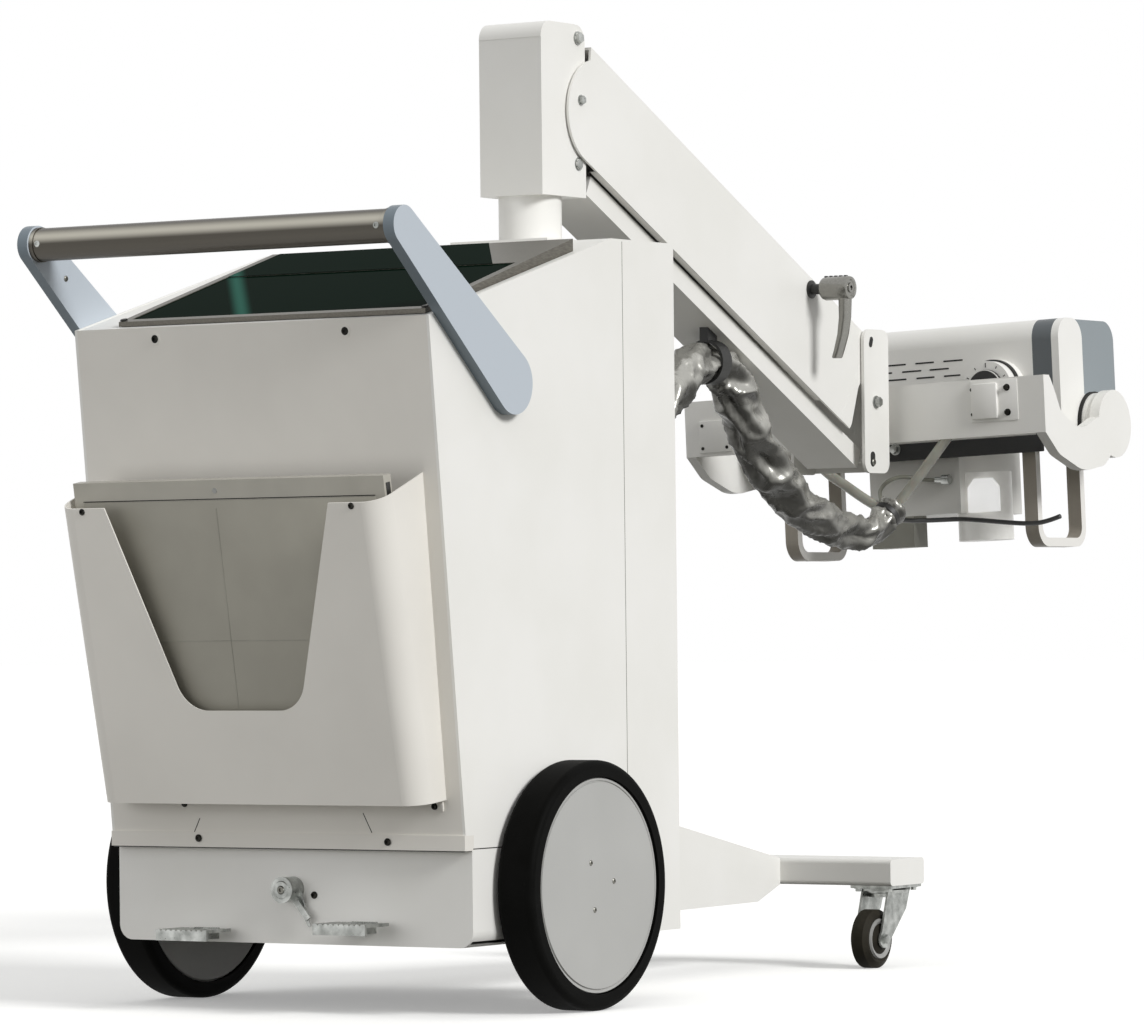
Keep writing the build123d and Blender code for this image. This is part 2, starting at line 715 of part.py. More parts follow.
# Clamp lever: ribbed head on a stud in the cover's right side, its grip hanging down
lever_spot = upper_pin * Pos(LEVER_ALONG * ARM_LENGTH, 0, -LEVER_DOWN)
lever_x = lever_spot.position.X
lever_z = lever_spot.position.Z
head_y0 = -COVER_HALF - LEVER_STUD - LEVER_LONG
head_y1 = -COVER_HALF - LEVER_STUD
lever = rod(lever_x, lever_z, LEVER_STUD_R, head_y1, -COVER_HALF)
lever += rod(lever_x, lever_z, LEVER_R, head_y0, head_y1)
grip = Plane.YZ * Polygon(
    (head_y0, 0),
    (head_y0 + LEVER_GRIP, 0),
    (head_y0 + LEVER_GRIP, -LEVER_DROP * 0.45),
    (head_y0 + LEVER_GRIP - 2, -LEVER_DROP),
    (head_y0, -LEVER_DROP),
    align=None,
)
grip = fillet(grip.vertices().group_by(Axis.Y)[0], 5)
lever += Pos(lever_x, 0, lever_z) * extrude(grip, LEVER_GRIP / 2, both=True)
save(lever, "clamp_lever")

# End bracket: two round-cornered plates and a front wall that holds the roll bearing
bracket = plate(
    [
        (TIP_X - BRACKET_BACK, TIP_LOW_Z - BRACKET_BELOW),
        (BRACKET_FRONT, TIP_LOW_Z - BRACKET_BELOW),
        (BRACKET_FRONT, TIP_TOP_Z + BRACKET_ABOVE),
        (TIP_X - BRACKET_BACK, TIP_TOP_Z + BRACKET_ABOVE),
    ],
    -BRACKET_HALF,
    BRACKET_HALF,
    BRACKET_ROUND,
)
bracket -= block(
    TIP_X - BRACKET_BACK - 1,
    BRACKET_FRONT - BRACKET_WALL,
    -BRACKET_INNER,
    BRACKET_INNER,
    TIP_LOW_Z - BRACKET_BELOW - 1,
    TIP_TOP_Z + BRACKET_ABOVE + 1,
)
for z in (TIP_TOP_Z, TIP_LOW_Z):
    bracket += rod(TIP_X, z, PIN_R, -BRACKET_INNER, BRACKET_INNER)
bracket -= stub(0, YOKE_Z, ROLL_R + RUN, BRACKET_FRONT - BRACKET_WALL - 1, BRACKET_FRONT + 1)
save(bracket, "end_bracket")

# The yoke and all it carries are drawn level, then rolled about the arm's end.
rolled = Pos(0, 0, YOKE_Z) * Rot(X=-ROLL) * Pos(0, 0, -YOKE_Z)
yoke_top = YOKE_Z + YOKE_TALL / 2
yoke_low = YOKE_Z - YOKE_TALL / 2
bar = block(YOKE_X, YOKE_X + YOKE_SHEET, -YOKE_HALF, YOKE_HALF, yoke_low, yoke_top)

# Lug outline from the bar's top round to its foot, before the pivot boss.
# Columns: share of the reach to the pivot, height above the pivot, rounding.
LUG_POINTS = (
    (0.000, 66.5, 0),
    (0.084, 66.5, 12),
    (0.164, 40.0, 18),
    (0.220, 17.0, 18),
    (0.360, -1.0, 40),
    (0.528, -10.0, 60),
    (0.785, 11.0, 40),
    (1.000, 0.0, 0),
    (0.972, -38.0, 0),
    (0.827, -62.0, 30),
    (0.579, -70.0, 60),
    (0.467, -68.0, 60),
    (0.182, -48.0, 40),
    (0.000, -16.5, 0),
)
outline = Polygon(*[(YOKE_X + PIVOT_AHEAD * s, PIVOT_Z + up) for s, up, _ in LUG_POINTS], align=None)
for share, up, rounding in LUG_POINTS:
    if rounding:
        spot = Vector(YOKE_X + PIVOT_AHEAD * share, PIVOT_Z + up, 0)
        nearest = min(outline.vertices(), key=lambda corner: (Vector(corner) - spot).length)
        outline = fillet(nearest, rounding)
lug = extrude(Plane.XZ.offset(-YOKE_HALF) * outline, LUG_THICK, dir=(0, -1, 0))
lug += rod(PIVOT_X, PIVOT_Z, PIVOT_R, LUG_INNER, YOKE_HALF)
yoke = bar + lug + mirror(lug, Plane.XZ)
yoke += stub(0, YOKE_Z, ROLL_R, BRACKET_FRONT - BRACKET_WALL, YOKE_X)
yoke -= rod(PIVOT_X, PIVOT_Z, AXLE_R + RUN, -YOKE_HALF + 4, YOKE_HALF - 4)
save(rolled * yoke, "yoke")

# Tube housing, its end caps, rear corner pads and pivot hubs
shell = block(TUBE_REAR, TUBE_FRONT, -CAP_HALF, CAP_HALF, TUBE_LOW, TUBE_TOP)
shell = fillet(shell.edges().filter_by(Axis.Y).group_by(Axis.Z)[-1], TUBE_ROUND)
shell = fillet(shell.edges().filter_by(Axis.Y).group_by(Axis.Z)[0], TUBE_LOW_ROUND)
far = 2 * TUBE_FRONT
save(rolled * (shell & block(0, far, -TUBE_HALF, TUBE_HALF, 0, far)), "tube_housing")
cap = shell & block(0, far, TUBE_HALF, CAP_HALF, 0, far)
pad = extrude(
    Plane.XZ.offset(-CAP_HALF - PAD_THICK)
    * RectangleRounded(PAD_WIDTH, TUBE_TOP - TUBE_LOW, TUBE_ROUND),
    PAD_THICK,
)
pad = Pos(TUBE_REAR + PAD_WIDTH / 2, 0, (TUBE_TOP + TUBE_LOW) / 2) * pad
hub = rod(PIVOT_X, PIVOT_Z, HUB_R, CAP_HALF, CAP_HALF + HUB_LONG)
hub += rod(PIVOT_X, PIVOT_Z, AXLE_R, CAP_HALF, YOKE_HALF - 5)
for piece, name in ((cap, "tube_caps"), (pad - hub, "tube_pads"), (hub, "pivot_hubs")):
    save(rolled * Compound([piece, mirror(piece, Plane.XZ)]), name)

# Angle dial on the housing's rear: base ring, numbered ring and knob
dial_z = PIVOT_Z + DIAL_UP
dial = stub(DIAL_Y, dial_z, DIAL_BASE_R, TUBE_REAR - 0.3 * DIAL_OUT, TUBE_REAR)
dial += stub(DIAL_Y, dial_z, DIAL_R, TUBE_REAR - 0.85 * DIAL_OUT, TUBE_REAR)
dial += stub(DIAL_Y, dial_z, DIAL_KNOB_R, TUBE_REAR - DIAL_OUT, TUBE_REAR)
save(rolled * dial, "tube_dial")

# Collimator, its lamp cylinder and accessory rail
coll_rear = PIVOT_X - COLL_BACK
coll = block(coll_rear, PIVOT_X + COLL_AHEAD, -COLL_RIGHT, COLL_LEFT, COLL_LOW, TUBE_LOW)
save(rolled * coll, "collimator")
lamp = post(PIVOT_X - LAMP_BACK, -LAMP_SIDE, LAMP_R, PIVOT_Z - LAMP_BELOW, PIVOT_Z - LAMP_RISE)
save(rolled * (lamp - coll), "lamp_cylinder")
rail = block(coll_rear, coll_rear + RAIL_LONG, 0, COLL_LEFT, PIVOT_Z - RAIL_BELOW, COLL_LOW)
save(rolled * rail, "collimator_plate")

# Strap handles: U-shaped bands under the housing's ends
strap_x0 = PIVOT_X - STRAP_BACK
strap_x1 = PIVOT_X + STRAP_AHEAD
strap_z = PIVOT_Z - STRAP_BELOW
strap_y0 = STRAP_Y - STRAP_WIDTH / 2
strap = block(strap_x0, strap_x1, strap_y0, strap_y0 + STRAP_WIDTH, strap_z, TUBE_LOW)
strap = fillet(strap.edges().filter_by(Axis.Y).group_by(Axis.Z)[0], STRAP_ROUND)
gap = block(
    strap_x0 + STRAP_THICK,
    strap_x1 - STRAP_THICK,
    strap_y0 - 1,
    strap_y0 + STRAP_WIDTH + 1,
    strap_z + STRAP_THICK,
    TUBE_LOW + 1,
)
gap = fillet(gap.edges().filter_by(Axis.Y).group_by(Axis.Z)[0], STRAP_ROUND - STRAP_THICK)
strap -= gap
save_strap = rolled * Compound([strap, mirror(strap, Plane.XZ)])
save(save_strap, "strap_handles")


def tube(points, radius, name):
    """Make a round cable whose bends are as wide as the straight runs beside them allow."""
    spots = [Vector(*point) for point in points]
    bends = []
    for before, here, after in zip(spots, spots[1:], spots[2:]):
        turn = radians((here - before).get_angle(after - here))
        run = min((here - before).length, (after - here).length)
        bends.append(0.45 * run / tan(turn / 2))
    path = FilletPolyline(*spots, radius=bends)
    ring = Plane(origin=path @ 0, z_dir=path % 0) * Circle(radius)
    cable = sweep(ring, path)
    print(name, "bend radii", [round(bend) for bend in bends], "length", round(path.length))
    print(name, "volume", round(cable.volume), "section x length", round(pi * radius**2 * path.length))
    return cable


def link_low_z(x):
    """Height of the lower link's underside."""
    slope = radians(ARM_ANGLE)
    return PIN_LOW_Z - (x - PIN_X) * tan(slope) + link_low / cos(slope)


# Cable sleeve: a tapered gland on the housing, a hanger under the lower link, a tie below the yoke.
gland = Rot(Y=90) * Cone(GLAND_R, SLEEVE_R + 1, GLAND_LONG)
save(Pos(HOUSING_FRONT + GLAND_LONG / 2, SLEEVE_Y, GLAND_Z) * gland, "cable_gland")
hang_x = PIN_X + HANG_ALONG * ARM_REACH
hang_z = link_low_z(hang_x) - HANG_DROP


def route(start, end, shares):
    """Points between two ends, as shares of the way forward and of the way up."""
    way = Vector(*end) - Vector(*start)
    return [(start[0] + way.X * run, SLEEVE_Y, start[2] + way.Z * rise) for run, rise in shares]


gland_face = (HOUSING_FRONT + GLAND_LONG, SLEEVE_Y, GLAND_Z)
crest_rear = (hang_x - HANG_RUN, SLEEVE_Y, hang_z)
crest = (hang_x, SLEEVE_Y, hang_z)
rear_shares = ((0, 0), (0.257, 0), (0.493, 0.19), (0.688, 0.569), (0.859, 0.879), (1, 1))
rear_sleeve = tube(route(gland_face, crest_rear, rear_shares) + [crest], SLEEVE_R, "rear sleeve")
save(rear_sleeve, "cable_sleeve_rear")
tie_at = Vector(YOKE_X, SLEEVE_Y - TIE_SIDE, YOKE_Z - TIE_LOW)
tie_way = Vector(26, -10, 22).normalized()
tie_from = tie_at - tie_way * TIE_SIDE * 2.2
front_shares = (
    (0, 0),
    (0.061, 0),
    (0.14, 0.118),
    (0.21, 0.319),
    (0.35, 0.597),
    (0.519, 0.807),
    (0.706, 0.933),
    (0.874, 0.995),
)
front_route = route(crest, tuple(tie_from), front_shares) + [tuple(tie_from), tuple(tie_at)]
save(tube(front_route, SLEEVE_R, "front sleeve"), "cable_sleeve_front")

hang = Plane(origin=(hang_x, SLEEVE_Y, hang_z), z_dir=(1, 0, 0))
hanger = hang * Cylinder(SLEEVE_R + HANGER_GAP + HANGER_SHEET, HANGER_WIDE)
neck_x0 = hang_x - HANGER_WIDE / 2
neck_x1 = hang_x + HANGER_WIDE / 2
hanger += plate(
    [(neck_x0, hang_z), (neck_x1, hang_z), (neck_x1, link_low_z(neck_x1)), (neck_x0, link_low_z(neck_x0))],
    SLEEVE_Y - HANGER_NECK / 2,
    SLEEVE_Y + HANGER_NECK / 2,
)
hanger -= hang * Cylinder(SLEEVE_R + HANGER_GAP, 3 * HANGER_WIDE)
save(hanger, "cable_hanger")
tie = Plane(origin=tie_at, z_dir=tie_way) * Pos(0, 0, TIE_LONG / 2) * Cylinder(SLEEVE_R + 1, TIE_LONG)
save(tie, "cable_tie")


def from_tie(*steps):
    """Points from the tie, in hundredths of the yoke's reach."""
    return [tuple(tie_at + Vector(*step) * (PIVOT_AHEAD / 100)) for step in steps]


# Leads out of the tie: two clear tubes up into the yoke bar, a signal wire and a black wire.
near_lead = from_tie((3, -5, 5), (5.6, -15, 17.3), (5.2, -31, 34.6), (3.8, -50, 56))
far_lead = from_tie((4.2, 3.8, 6.5), (6.6, 18, 13), (6.6, 34, 23.4), (6.1, 51, 33.6), (4.2, 69, 52))
clear = [tube(near_lead, LEAD_R, "clear tube near"), tube(far_lead, LEAD_R, "clear tube far")]
save(Compound(clear), "clear_tubes")
plug_x = coll_rear - PLUG_R - 2
plug_y = tie_at.Y - 0.065 * PIVOT_AHEAD
plug_z = tie_at.Z + 0.271 * PIVOT_AHEAD
plug = rod(plug_x, plug_z, PLUG_R, plug_y - PLUG_LONG, plug_y - PLUG_LONG / 2)
plug += rod(plug_x, plug_z, 0.6 * PLUG_R, plug_y - PLUG_LONG / 2, plug_y)
plug += block(plug_x, coll_rear, plug_y - PLUG_LONG + 2, plug_y - PLUG_LONG / 2 - 2, plug_z - 4, plug_z + 4)
save(plug, "cable_plug")
signal = from_tie((-1, 0, 9), (8.4, 8.4, 16), (19.6, 13, 22), (32, 14.5, 26.6), (45, 14, 29.4), (55, 10.7, 29.4))
signal += [(plug_x, plug_y + 18, plug_z), (plug_x, plug_y, plug_z)]
save(tube(signal, SIGNAL_R, "signal_cable"), "signal_cable")
black = from_tie(
    (2.8, 1, 3),
    (14.5, 1, 0),
    (26.6, -2.8, -1.4),
    (37.4, -9, -1.4),
    (45.8, -19, -1),
    (50.5, -32.7, -0.5),
    (52.8, -49.5, -1.9),
    (53.7, -68, -3.7),
    (53.7, -84, -4.7),
    (52.8, -97.7, -3.7),
    (51.9, -109, 0),
)
save(tube(black, WIRE_R, "black_cable"), "black_cable")
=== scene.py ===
"""The looks of a mobile x-ray machine: finishes, fasteners, small trim and cables.

Sizes are in millimetres, in the drawing's own axes: X forward from the rear
axle, Y to the machine's left, Z up from the floor. TO_FRAME carries them into
the shared frame, in metres.
"""
from math import atan2, cos, hypot, pi, radians, sin

import bmesh
import bpy
from mathutils import Matrix, Vector, noise
from mathutils.kdtree import KDTree


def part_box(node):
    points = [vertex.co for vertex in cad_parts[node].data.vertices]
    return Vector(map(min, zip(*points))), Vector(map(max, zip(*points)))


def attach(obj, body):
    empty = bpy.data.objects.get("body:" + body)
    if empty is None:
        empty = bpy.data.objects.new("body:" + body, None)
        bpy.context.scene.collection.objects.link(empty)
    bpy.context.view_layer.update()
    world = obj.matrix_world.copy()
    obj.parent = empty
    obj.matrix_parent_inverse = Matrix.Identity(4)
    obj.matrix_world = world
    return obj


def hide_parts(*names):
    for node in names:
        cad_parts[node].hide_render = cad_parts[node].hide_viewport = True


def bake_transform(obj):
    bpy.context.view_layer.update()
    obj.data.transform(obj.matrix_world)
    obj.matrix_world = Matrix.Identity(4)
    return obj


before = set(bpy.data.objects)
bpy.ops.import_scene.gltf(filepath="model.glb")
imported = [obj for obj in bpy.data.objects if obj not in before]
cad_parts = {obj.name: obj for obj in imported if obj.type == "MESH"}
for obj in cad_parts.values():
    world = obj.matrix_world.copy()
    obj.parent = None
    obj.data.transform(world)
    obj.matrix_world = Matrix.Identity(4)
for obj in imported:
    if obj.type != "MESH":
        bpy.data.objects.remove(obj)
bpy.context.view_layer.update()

# Places shared by many pieces

MM = 0.001
axle_low, axle_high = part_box("rear_axle")
AXLE_X = (axle_low.x + axle_high.x) / 2
TO_FRAME = Matrix.Translation((AXLE_X, 0, 0)) @ Matrix.Scale(MM, 4)


def rotated(degrees, axis):
    """A turn about an axis through the origin."""
    return Matrix.Rotation(radians(degrees), 4, axis)


REAR_LEAN = 6.144
DECK_SLOPE = 16.95
ARM_FALL = 26.69
HEAD_ROLL = -2.15
HEAD_ROLL_Z = 785

# The rear panel, measured up from the flange, and the pocket on it
REAR_PANEL = Matrix.Translation((-214, 0, 228)) @ rotated(-REAR_LEAN, "Y")
POCKET = Matrix.Translation((-218.7, 0, 272)) @ rotated(-REAR_LEAN, "Y")
# The screen deck, measured forward from its rear edge
DECK = Matrix.Translation((-271, 0, 878.3)) @ rotated(-DECK_SLOPE, "Y")
# The arm's cover, measured along it from its rear pin
PIN_X, PIN_TOP, PIN_LOW = 402, 1276, 1106  # the arm's two pins on the column head
ARM = Matrix.Translation((PIN_X, 0, PIN_TOP)) @ rotated(ARM_FALL, "Y")
# The yoke and the tube head stand a little rolled, as they are parked
HEAD = (
    Matrix.Translation((0, 0, HEAD_ROLL_Z))
    @ rotated(HEAD_ROLL, "X")
    @ Matrix.Translation((0, 0, -HEAD_ROLL_Z))
)

TO_REAR = Vector((-1, 0, 0))
TO_RIGHT = Vector((0, -1, 0))
TO_LEFT = Vector((0, 1, 0))
UP = Vector((0, 0, 1))
DOWN = Vector((0, 0, -1))


def facing(at, normal):
    """A place at a point, with its own Z along the normal."""
    return Matrix.Translation(at) @ Vector(normal).to_track_quat("Z", "Y").to_matrix().to_4x4()


# Shader helpers


def linear(colour):
    """An sRGB hex colour as the linear colour that a shader takes."""
    parts = [int(colour[i : i + 2], 16) / 255 for i in (1, 3, 5)]
    return [c / 12.92 if c <= 0.04045 else ((c + 0.055) / 1.055) ** 2.4 for c in parts] + [1.0]


def add(tree, kind, sockets=(), **settings):
    """One shader node with its settings, its sockets' values and its links."""
    node = tree.nodes.new("ShaderNode" + kind)
    for key, value in settings.items():
        setattr(node, key, value)
    for socket, value in dict(sockets).items():
        if isinstance(value, bpy.types.NodeSocket):
            tree.links.new(value, node.inputs[socket])
        else:
            node.inputs[socket].default_value = value
    return node


def per_mm(size):
    """A texture's scale for features of this many millimetres."""
    return 1 / (size * MM)


def emptied(owner):
    """The node tree of a material or world, with nothing in it yet."""
    owner.use_nodes = True
    owner.node_tree.nodes.clear()
    return owner.node_tree


def surface(name, colour, roughness, **sockets):
    """A material with its one shader, and its object's own place for its patterns."""
    made = bpy.data.materials.new(name)
    tree = emptied(made)
    values = {"Base Color": linear(colour), "Roughness": roughness}
    values |= {key.replace("_", " "): value for key, value in sockets.items()}
    shader = add(tree, "BsdfPrincipled", values)
    add(tree, "OutputMaterial", {"Surface": shader.outputs["BSDF"]})
    made.diffuse_color = linear(colour)
    return made, tree, shader, add(tree, "TexCoord").outputs["Object"]


def bumped(tree, shader, height, depth, strength, under=None):
    """Raises the surface by a pattern, over another pattern where one is given."""
    sockets = {"Height": height, "Distance": depth * MM, "Strength": strength}
    if under:
        sockets["Normal"] = under.outputs["Normal"]
    bump = add(tree, "Bump", sockets)
    tree.links.new(bump.outputs["Normal"], shader.inputs["Normal"])
    return bump


def faded(tree, value, middle, half):
    """One where the value is at the middle, fading to nought over half either way."""
    past = add(tree, "Math", {0: value, 1: middle}, operation="SUBTRACT")
    away = add(tree, "Math", {0: past.outputs["Value"]}, operation="ABSOLUTE")
    limits = {"Value": away.outputs["Value"], "From Max": half, "To Min": 1.0, "To Max": 0.0}
    return add(tree, "MapRange", limits, interpolation_type="SMOOTHSTEP").outputs["Result"]


def lit_side(tree, height, half):
    """One where the surface turns up by this much, fading to nought over half either way."""
    normal = add(tree, "TexCoord").outputs["Normal"]
    return faded(tree, add(tree, "SeparateXYZ", {"Vector": normal}).outputs["Z"], height, half)


def toned(tree, shader, pattern, dark, light, low=0.35, high=0.65):
    """Carries a pattern into the colour, between two tones."""
    ramp = add(tree, "ValToRGB", {"Fac": pattern})
    ramp.color_ramp.elements[0].position = low
    ramp.color_ramp.elements[0].color = linear(dark)
    ramp.color_ramp.elements[1].position = high
    ramp.color_ramp.elements[1].color = linear(light)
    tree.links.new(ramp.outputs["Color"], shader.inputs["Base Color"])


def roughened(tree, shader, pattern, low, high):
    """Carries a pattern into the roughness."""
    spread = add(tree, "MapRange", {"Value": pattern, "To Min": low, "To Max": high})
    tree.links.new(spread.outputs["Result"], shader.inputs["Roughness"])


# Materials


def powder_coat(name, dark, light, roughness):
    """Baked polyester powder on sheet steel: an even satin with a soft orange peel.

    The real peel is 1 to 2 mm wide, drawn at 4 mm to show, and the broad
    cloudy tone is handling and film thickness, 150 mm across.
    """
    made, tree, shader, place = surface(name, light, roughness, IOR=1.36)
    peel = add(tree, "TexNoise", {"Vector": place, "Scale": per_mm(4), "Detail": 2.0})
    cloud = add(tree, "TexNoise", {"Vector": place, "Scale": per_mm(150), "Detail": 3.0})
    toned(tree, shader, cloud.outputs["Fac"], dark, light)
    roughened(tree, shader, cloud.outputs["Fac"], roughness - 0.05, roughness + 0.06)
    bumped(tree, shader, peel.outputs["Fac"], 0.05, 0.5)
    return made


def edged_coat(name, face, edge, roughness):
    """Powder coat on a moulding whose rims are a darker tone than its flat faces.

    The faces that look sideways take the face's colour and the rims the
    edge's, each with the same 4 mm peel as the plain coat. On the thick handle
    plates the darker rims are the moulding's own colour; on the tube caps and
    the strap handles they are painted shade.
    """
    made, tree, shader, place = surface(name, face, roughness, IOR=1.36)
    normal = add(tree, "TexCoord").outputs["Normal"]
    across = add(tree, "SeparateXYZ", {"Vector": normal})
    level = add(tree, "Math", {0: across.outputs["Y"]}, operation="ABSOLUTE")
    toned(tree, shader, level.outputs["Value"], edge, face, 0.6, 0.9)
    peel = add(tree, "TexNoise", {"Vector": place, "Scale": per_mm(4), "Detail": 2.0})
    roughened(tree, shader, peel.outputs["Fac"], roughness - 0.03, roughness + 0.03)
    bumped(tree, shader, peel.outputs["Fac"], 0.05, 0.5)
    return made


def anodised_aluminium(name, dark, light, roughness, along=(1, 1, 1), metallic=0.7):
    """Brushed aluminium, dyed and sealed: a dull metal sheen with a fine grain.

    The brush lines are 0.3 mm apart, drawn at 1.5 mm to show, and run long
    in the direction where the scale is small.
    """
    made, tree, shader, place = surface(name, light, roughness, Metallic=metallic)
    stretched = add(tree, "Mapping", {"Vector": place, "Scale": along})
    grain = add(tree, "TexNoise", {"Vector": stretched.outputs["Vector"], "Scale": per_mm(1.5)})
    toned(tree, shader, grain.outputs["Fac"], dark, light)
    roughened(tree, shader, grain.outputs["Fac"], roughness - 0.08, roughness + 0.08)
    bumped(tree, shader, grain.outputs["Fac"], 0.02, 0.3)
    return made


def zinc_plated_steel(name, dark, light, roughness=0.3):
    """Pressed steel, zinc plated: bright, with a faint 6 mm spangle and dull rubs."""
    made, tree, shader, place = surface(name, light, roughness, Metallic=1.0)
    spangle = add(tree, "TexVoronoi", {"Vector": place, "Scale": per_mm(6)})
    rubs = add(tree, "TexNoise", {"Vector": place, "Scale": per_mm(14), "Detail": 4.0})
    toned(tree, shader, rubs.outputs["Fac"], dark, light)
    roughened(tree, shader, spangle.outputs["Distance"], roughness - 0.06, roughness + 0.12)
    bumped(tree, shader, rubs.outputs["Fac"], 0.05, 0.2)
    return made


def moulded_rubber(name, dark, light, roughness):
    """Moulded black rubber: matt, with a bloom of grey and the mould's 1.5 mm grain."""
    made, tree, shader, place = surface(name, light, roughness, IOR=1.12)
    bloom = add(tree, "TexNoise", {"Vector": place, "Scale": per_mm(35), "Detail": 4.0})
    grain = add(tree, "TexNoise", {"Vector": place, "Scale": per_mm(1.5), "Detail": 2.0})
    toned(tree, shader, bloom.outputs["Fac"], dark, light)
    roughened(tree, shader, bloom.outputs["Fac"], roughness - 0.1, roughness + 0.1)
    bumped(tree, shader, grain.outputs["Fac"], 0.08, 0.35)
    return made


def moulded_plastic(name, dark, light, roughness, grain_size=1.2):
    """Injection-moulded ABS: a satin skin with a fine spark-eroded grain."""
    made, tree, shader, place = surface(name, light, roughness, IOR=1.54)
    grain = add(tree, "TexNoise", {"Vector": place, "Scale": per_mm(grain_size), "Detail": 2.0})
    cloud = add(tree, "TexNoise", {"Vector": place, "Scale": per_mm(60), "Detail": 2.0})
    toned(tree, shader, cloud.outputs["Fac"], dark, light)
    roughened(tree, shader, cloud.outputs["Fac"], roughness - 0.04, roughness + 0.06)
    bumped(tree, shader, grain.outputs["Fac"], 0.03, 0.3)
    return made


def tinted_glass():
    """Toughened glass over a dark display: near black with a green cast.

    Its anti-reflection coat keeps the room out of it, so the index is low.
    A faint paler band crosses it, a painted reflection.
    """
    made, tree, shader, place = surface("toughened_glass", "#04140e", 0.06, IOR=1.01)
    smear = add(tree, "TexNoise", {"Vector": place, "Scale": per_mm(70), "Detail": 3.0})
    spot = {"Rotation": (0, 0, radians(REFLECTION_TURN)), "Location": (0, REFLECTION_AT * MM, 0)}
    turned_band = add(tree, "Mapping", {"Vector": place} | spot)
    across = add(tree, "SeparateXYZ", {"Vector": turned_band.outputs["Vector"]})
    band = faded(tree, across.outputs["Y"], 0, REFLECTION_HALF * MM)
    # Painted reflection: the band is a paler green than the glass.
    toned(tree, shader, band, "#06180f", "#2f5f52", 0.0, 1.0)
    roughened(tree, shader, smear.outputs["Fac"], 0.05, 0.12)
    return made


def silver_sleeve_cloth():
    """Metallised nylon cloth: silvery, crumpled, with a sheen that breaks on each fold.

    Its colour is painted: painted light on its upper side and painted shade,
    darkening it, on its underside. The folds are in the shape; here are the soft
    30 mm hollows between them and the weave, 0.4 mm in the cloth and drawn at
    1.6 mm to show.
    """
    made, tree, shader, place = surface("metallised_nylon", "#8b8a84", 0.3, Metallic=0.5)
    hollow = add(tree, "TexNoise", {"Vector": place, "Scale": per_mm(30), "Distortion": 1.2})
    weave = add(tree, "TexNoise", {"Vector": place, "Scale": per_mm(1.6), "Detail": 1.0})
    # Painted light and shade: pale where the cloth faces up, dark where it faces down.
    toned(tree, shader, lit_side(tree, 0.8, 1.6), "#3a3935", "#aaa9a3", 0.1, 0.9)
    roughened(tree, shader, hollow.outputs["Fac"], 0.2, 0.36)
    folds = bumped(tree, shader, hollow.outputs["Fac"], 3.0, 0.35)
    bumped(tree, shader, weave.outputs["Fac"], 0.05, 0.3, under=folds)
    return made


def bar_with_painted_streak():
    """Bronze-anodised tube: dark, with a painted highlight: the long pale streak that a polished
    round bar shows where its side turns partly up.

    The grain of its drawing runs along it, 2 mm apart.
    """
    made, tree, shader, place = surface("anodised_bronze", "#5f5a52", 0.34, Metallic=0.6)
    stretched = add(tree, "Mapping", {"Vector": place, "Scale": (1, 0.01, 1)})
    grain = add(tree, "TexNoise", {"Vector": stretched.outputs["Vector"], "Scale": per_mm(2)})
    # Painted highlight: pale where the surface turns partly up, dark above and below it.
    toned(tree, shader, lit_side(tree, 0.42, 0.55), "#4d4942", "#b9b5a9", 0.1, 1.0)
    roughened(tree, shader, grain.outputs["Fac"], 0.28, 0.4)
    bumped(tree, shader, grain.outputs["Fac"], 0.02, 0.3)
    return made


def clear_hose():
    """Extruded clear PVC, yellowed and cloudy: the grey lead inside shows through."""
    made, tree, shader, place = surface(
        "soft_pvc", "#a5a597", 0.22, IOR=1.53, Subsurface_Weight=0.25, Subsurface_Scale=0.004
    )
    cloud = add(tree, "TexNoise", {"Vector": place, "Scale": per_mm(22), "Detail": 3.0})
    toned(tree, shader, cloud.outputs["Fac"], "#a09f94", "#b0afa4")
    bumped(tree, shader, cloud.outputs["Fac"], 0.2, 0.2)
    return made


def acrylic_with_painted_glow(name, dark, light, roughness, glow):
    """Acrylic over the field lamp: white and clear-edged, and brighter than the shell by a painted
    glow.
    """
    made, tree, shader, place = surface(name, light, roughness, IOR=1.49, Emission_Strength=glow)
    haze = add(tree, "TexNoise", {"Vector": place, "Scale": per_mm(25)})
    toned(tree, shader, haze.outputs["Fac"], dark, light)
    shader.inputs["Emission Color"].default_value = linear(light)
    return made


# The painted reflection on the glass, a pale band: its turn in degrees, its place and half its
# width
REFLECTION_TURN, REFLECTION_AT, REFLECTION_HALF = -38.2, -546, 15

white_coat = powder_coat("powder_coat_white", "#e9e8e3", "#edece8", 0.42)
# The white coat painted a little darker and warmer: painted shade on the rear panel, its flange,
# the pocket and their small parts.
panel_coat_shaded = powder_coat("powder_coat_white_shaded", "#e2dfd8", "#e7e4dd", 0.46)
plate_coat = edged_coat("powder_coat_slate_blue", "#bac2ca", "#77828a", 0.38)
# The caps are one blue-grey: their darker rims are painted shade where they face the rear.
cap_coat_shaded_rims = edged_coat("powder_coat_steel_blue", "#8b9397", "#62676a", 0.4)
disc_coat = powder_coat("powder_coat_disc_grey", "#afafac", "#b4b4b1", 0.45)
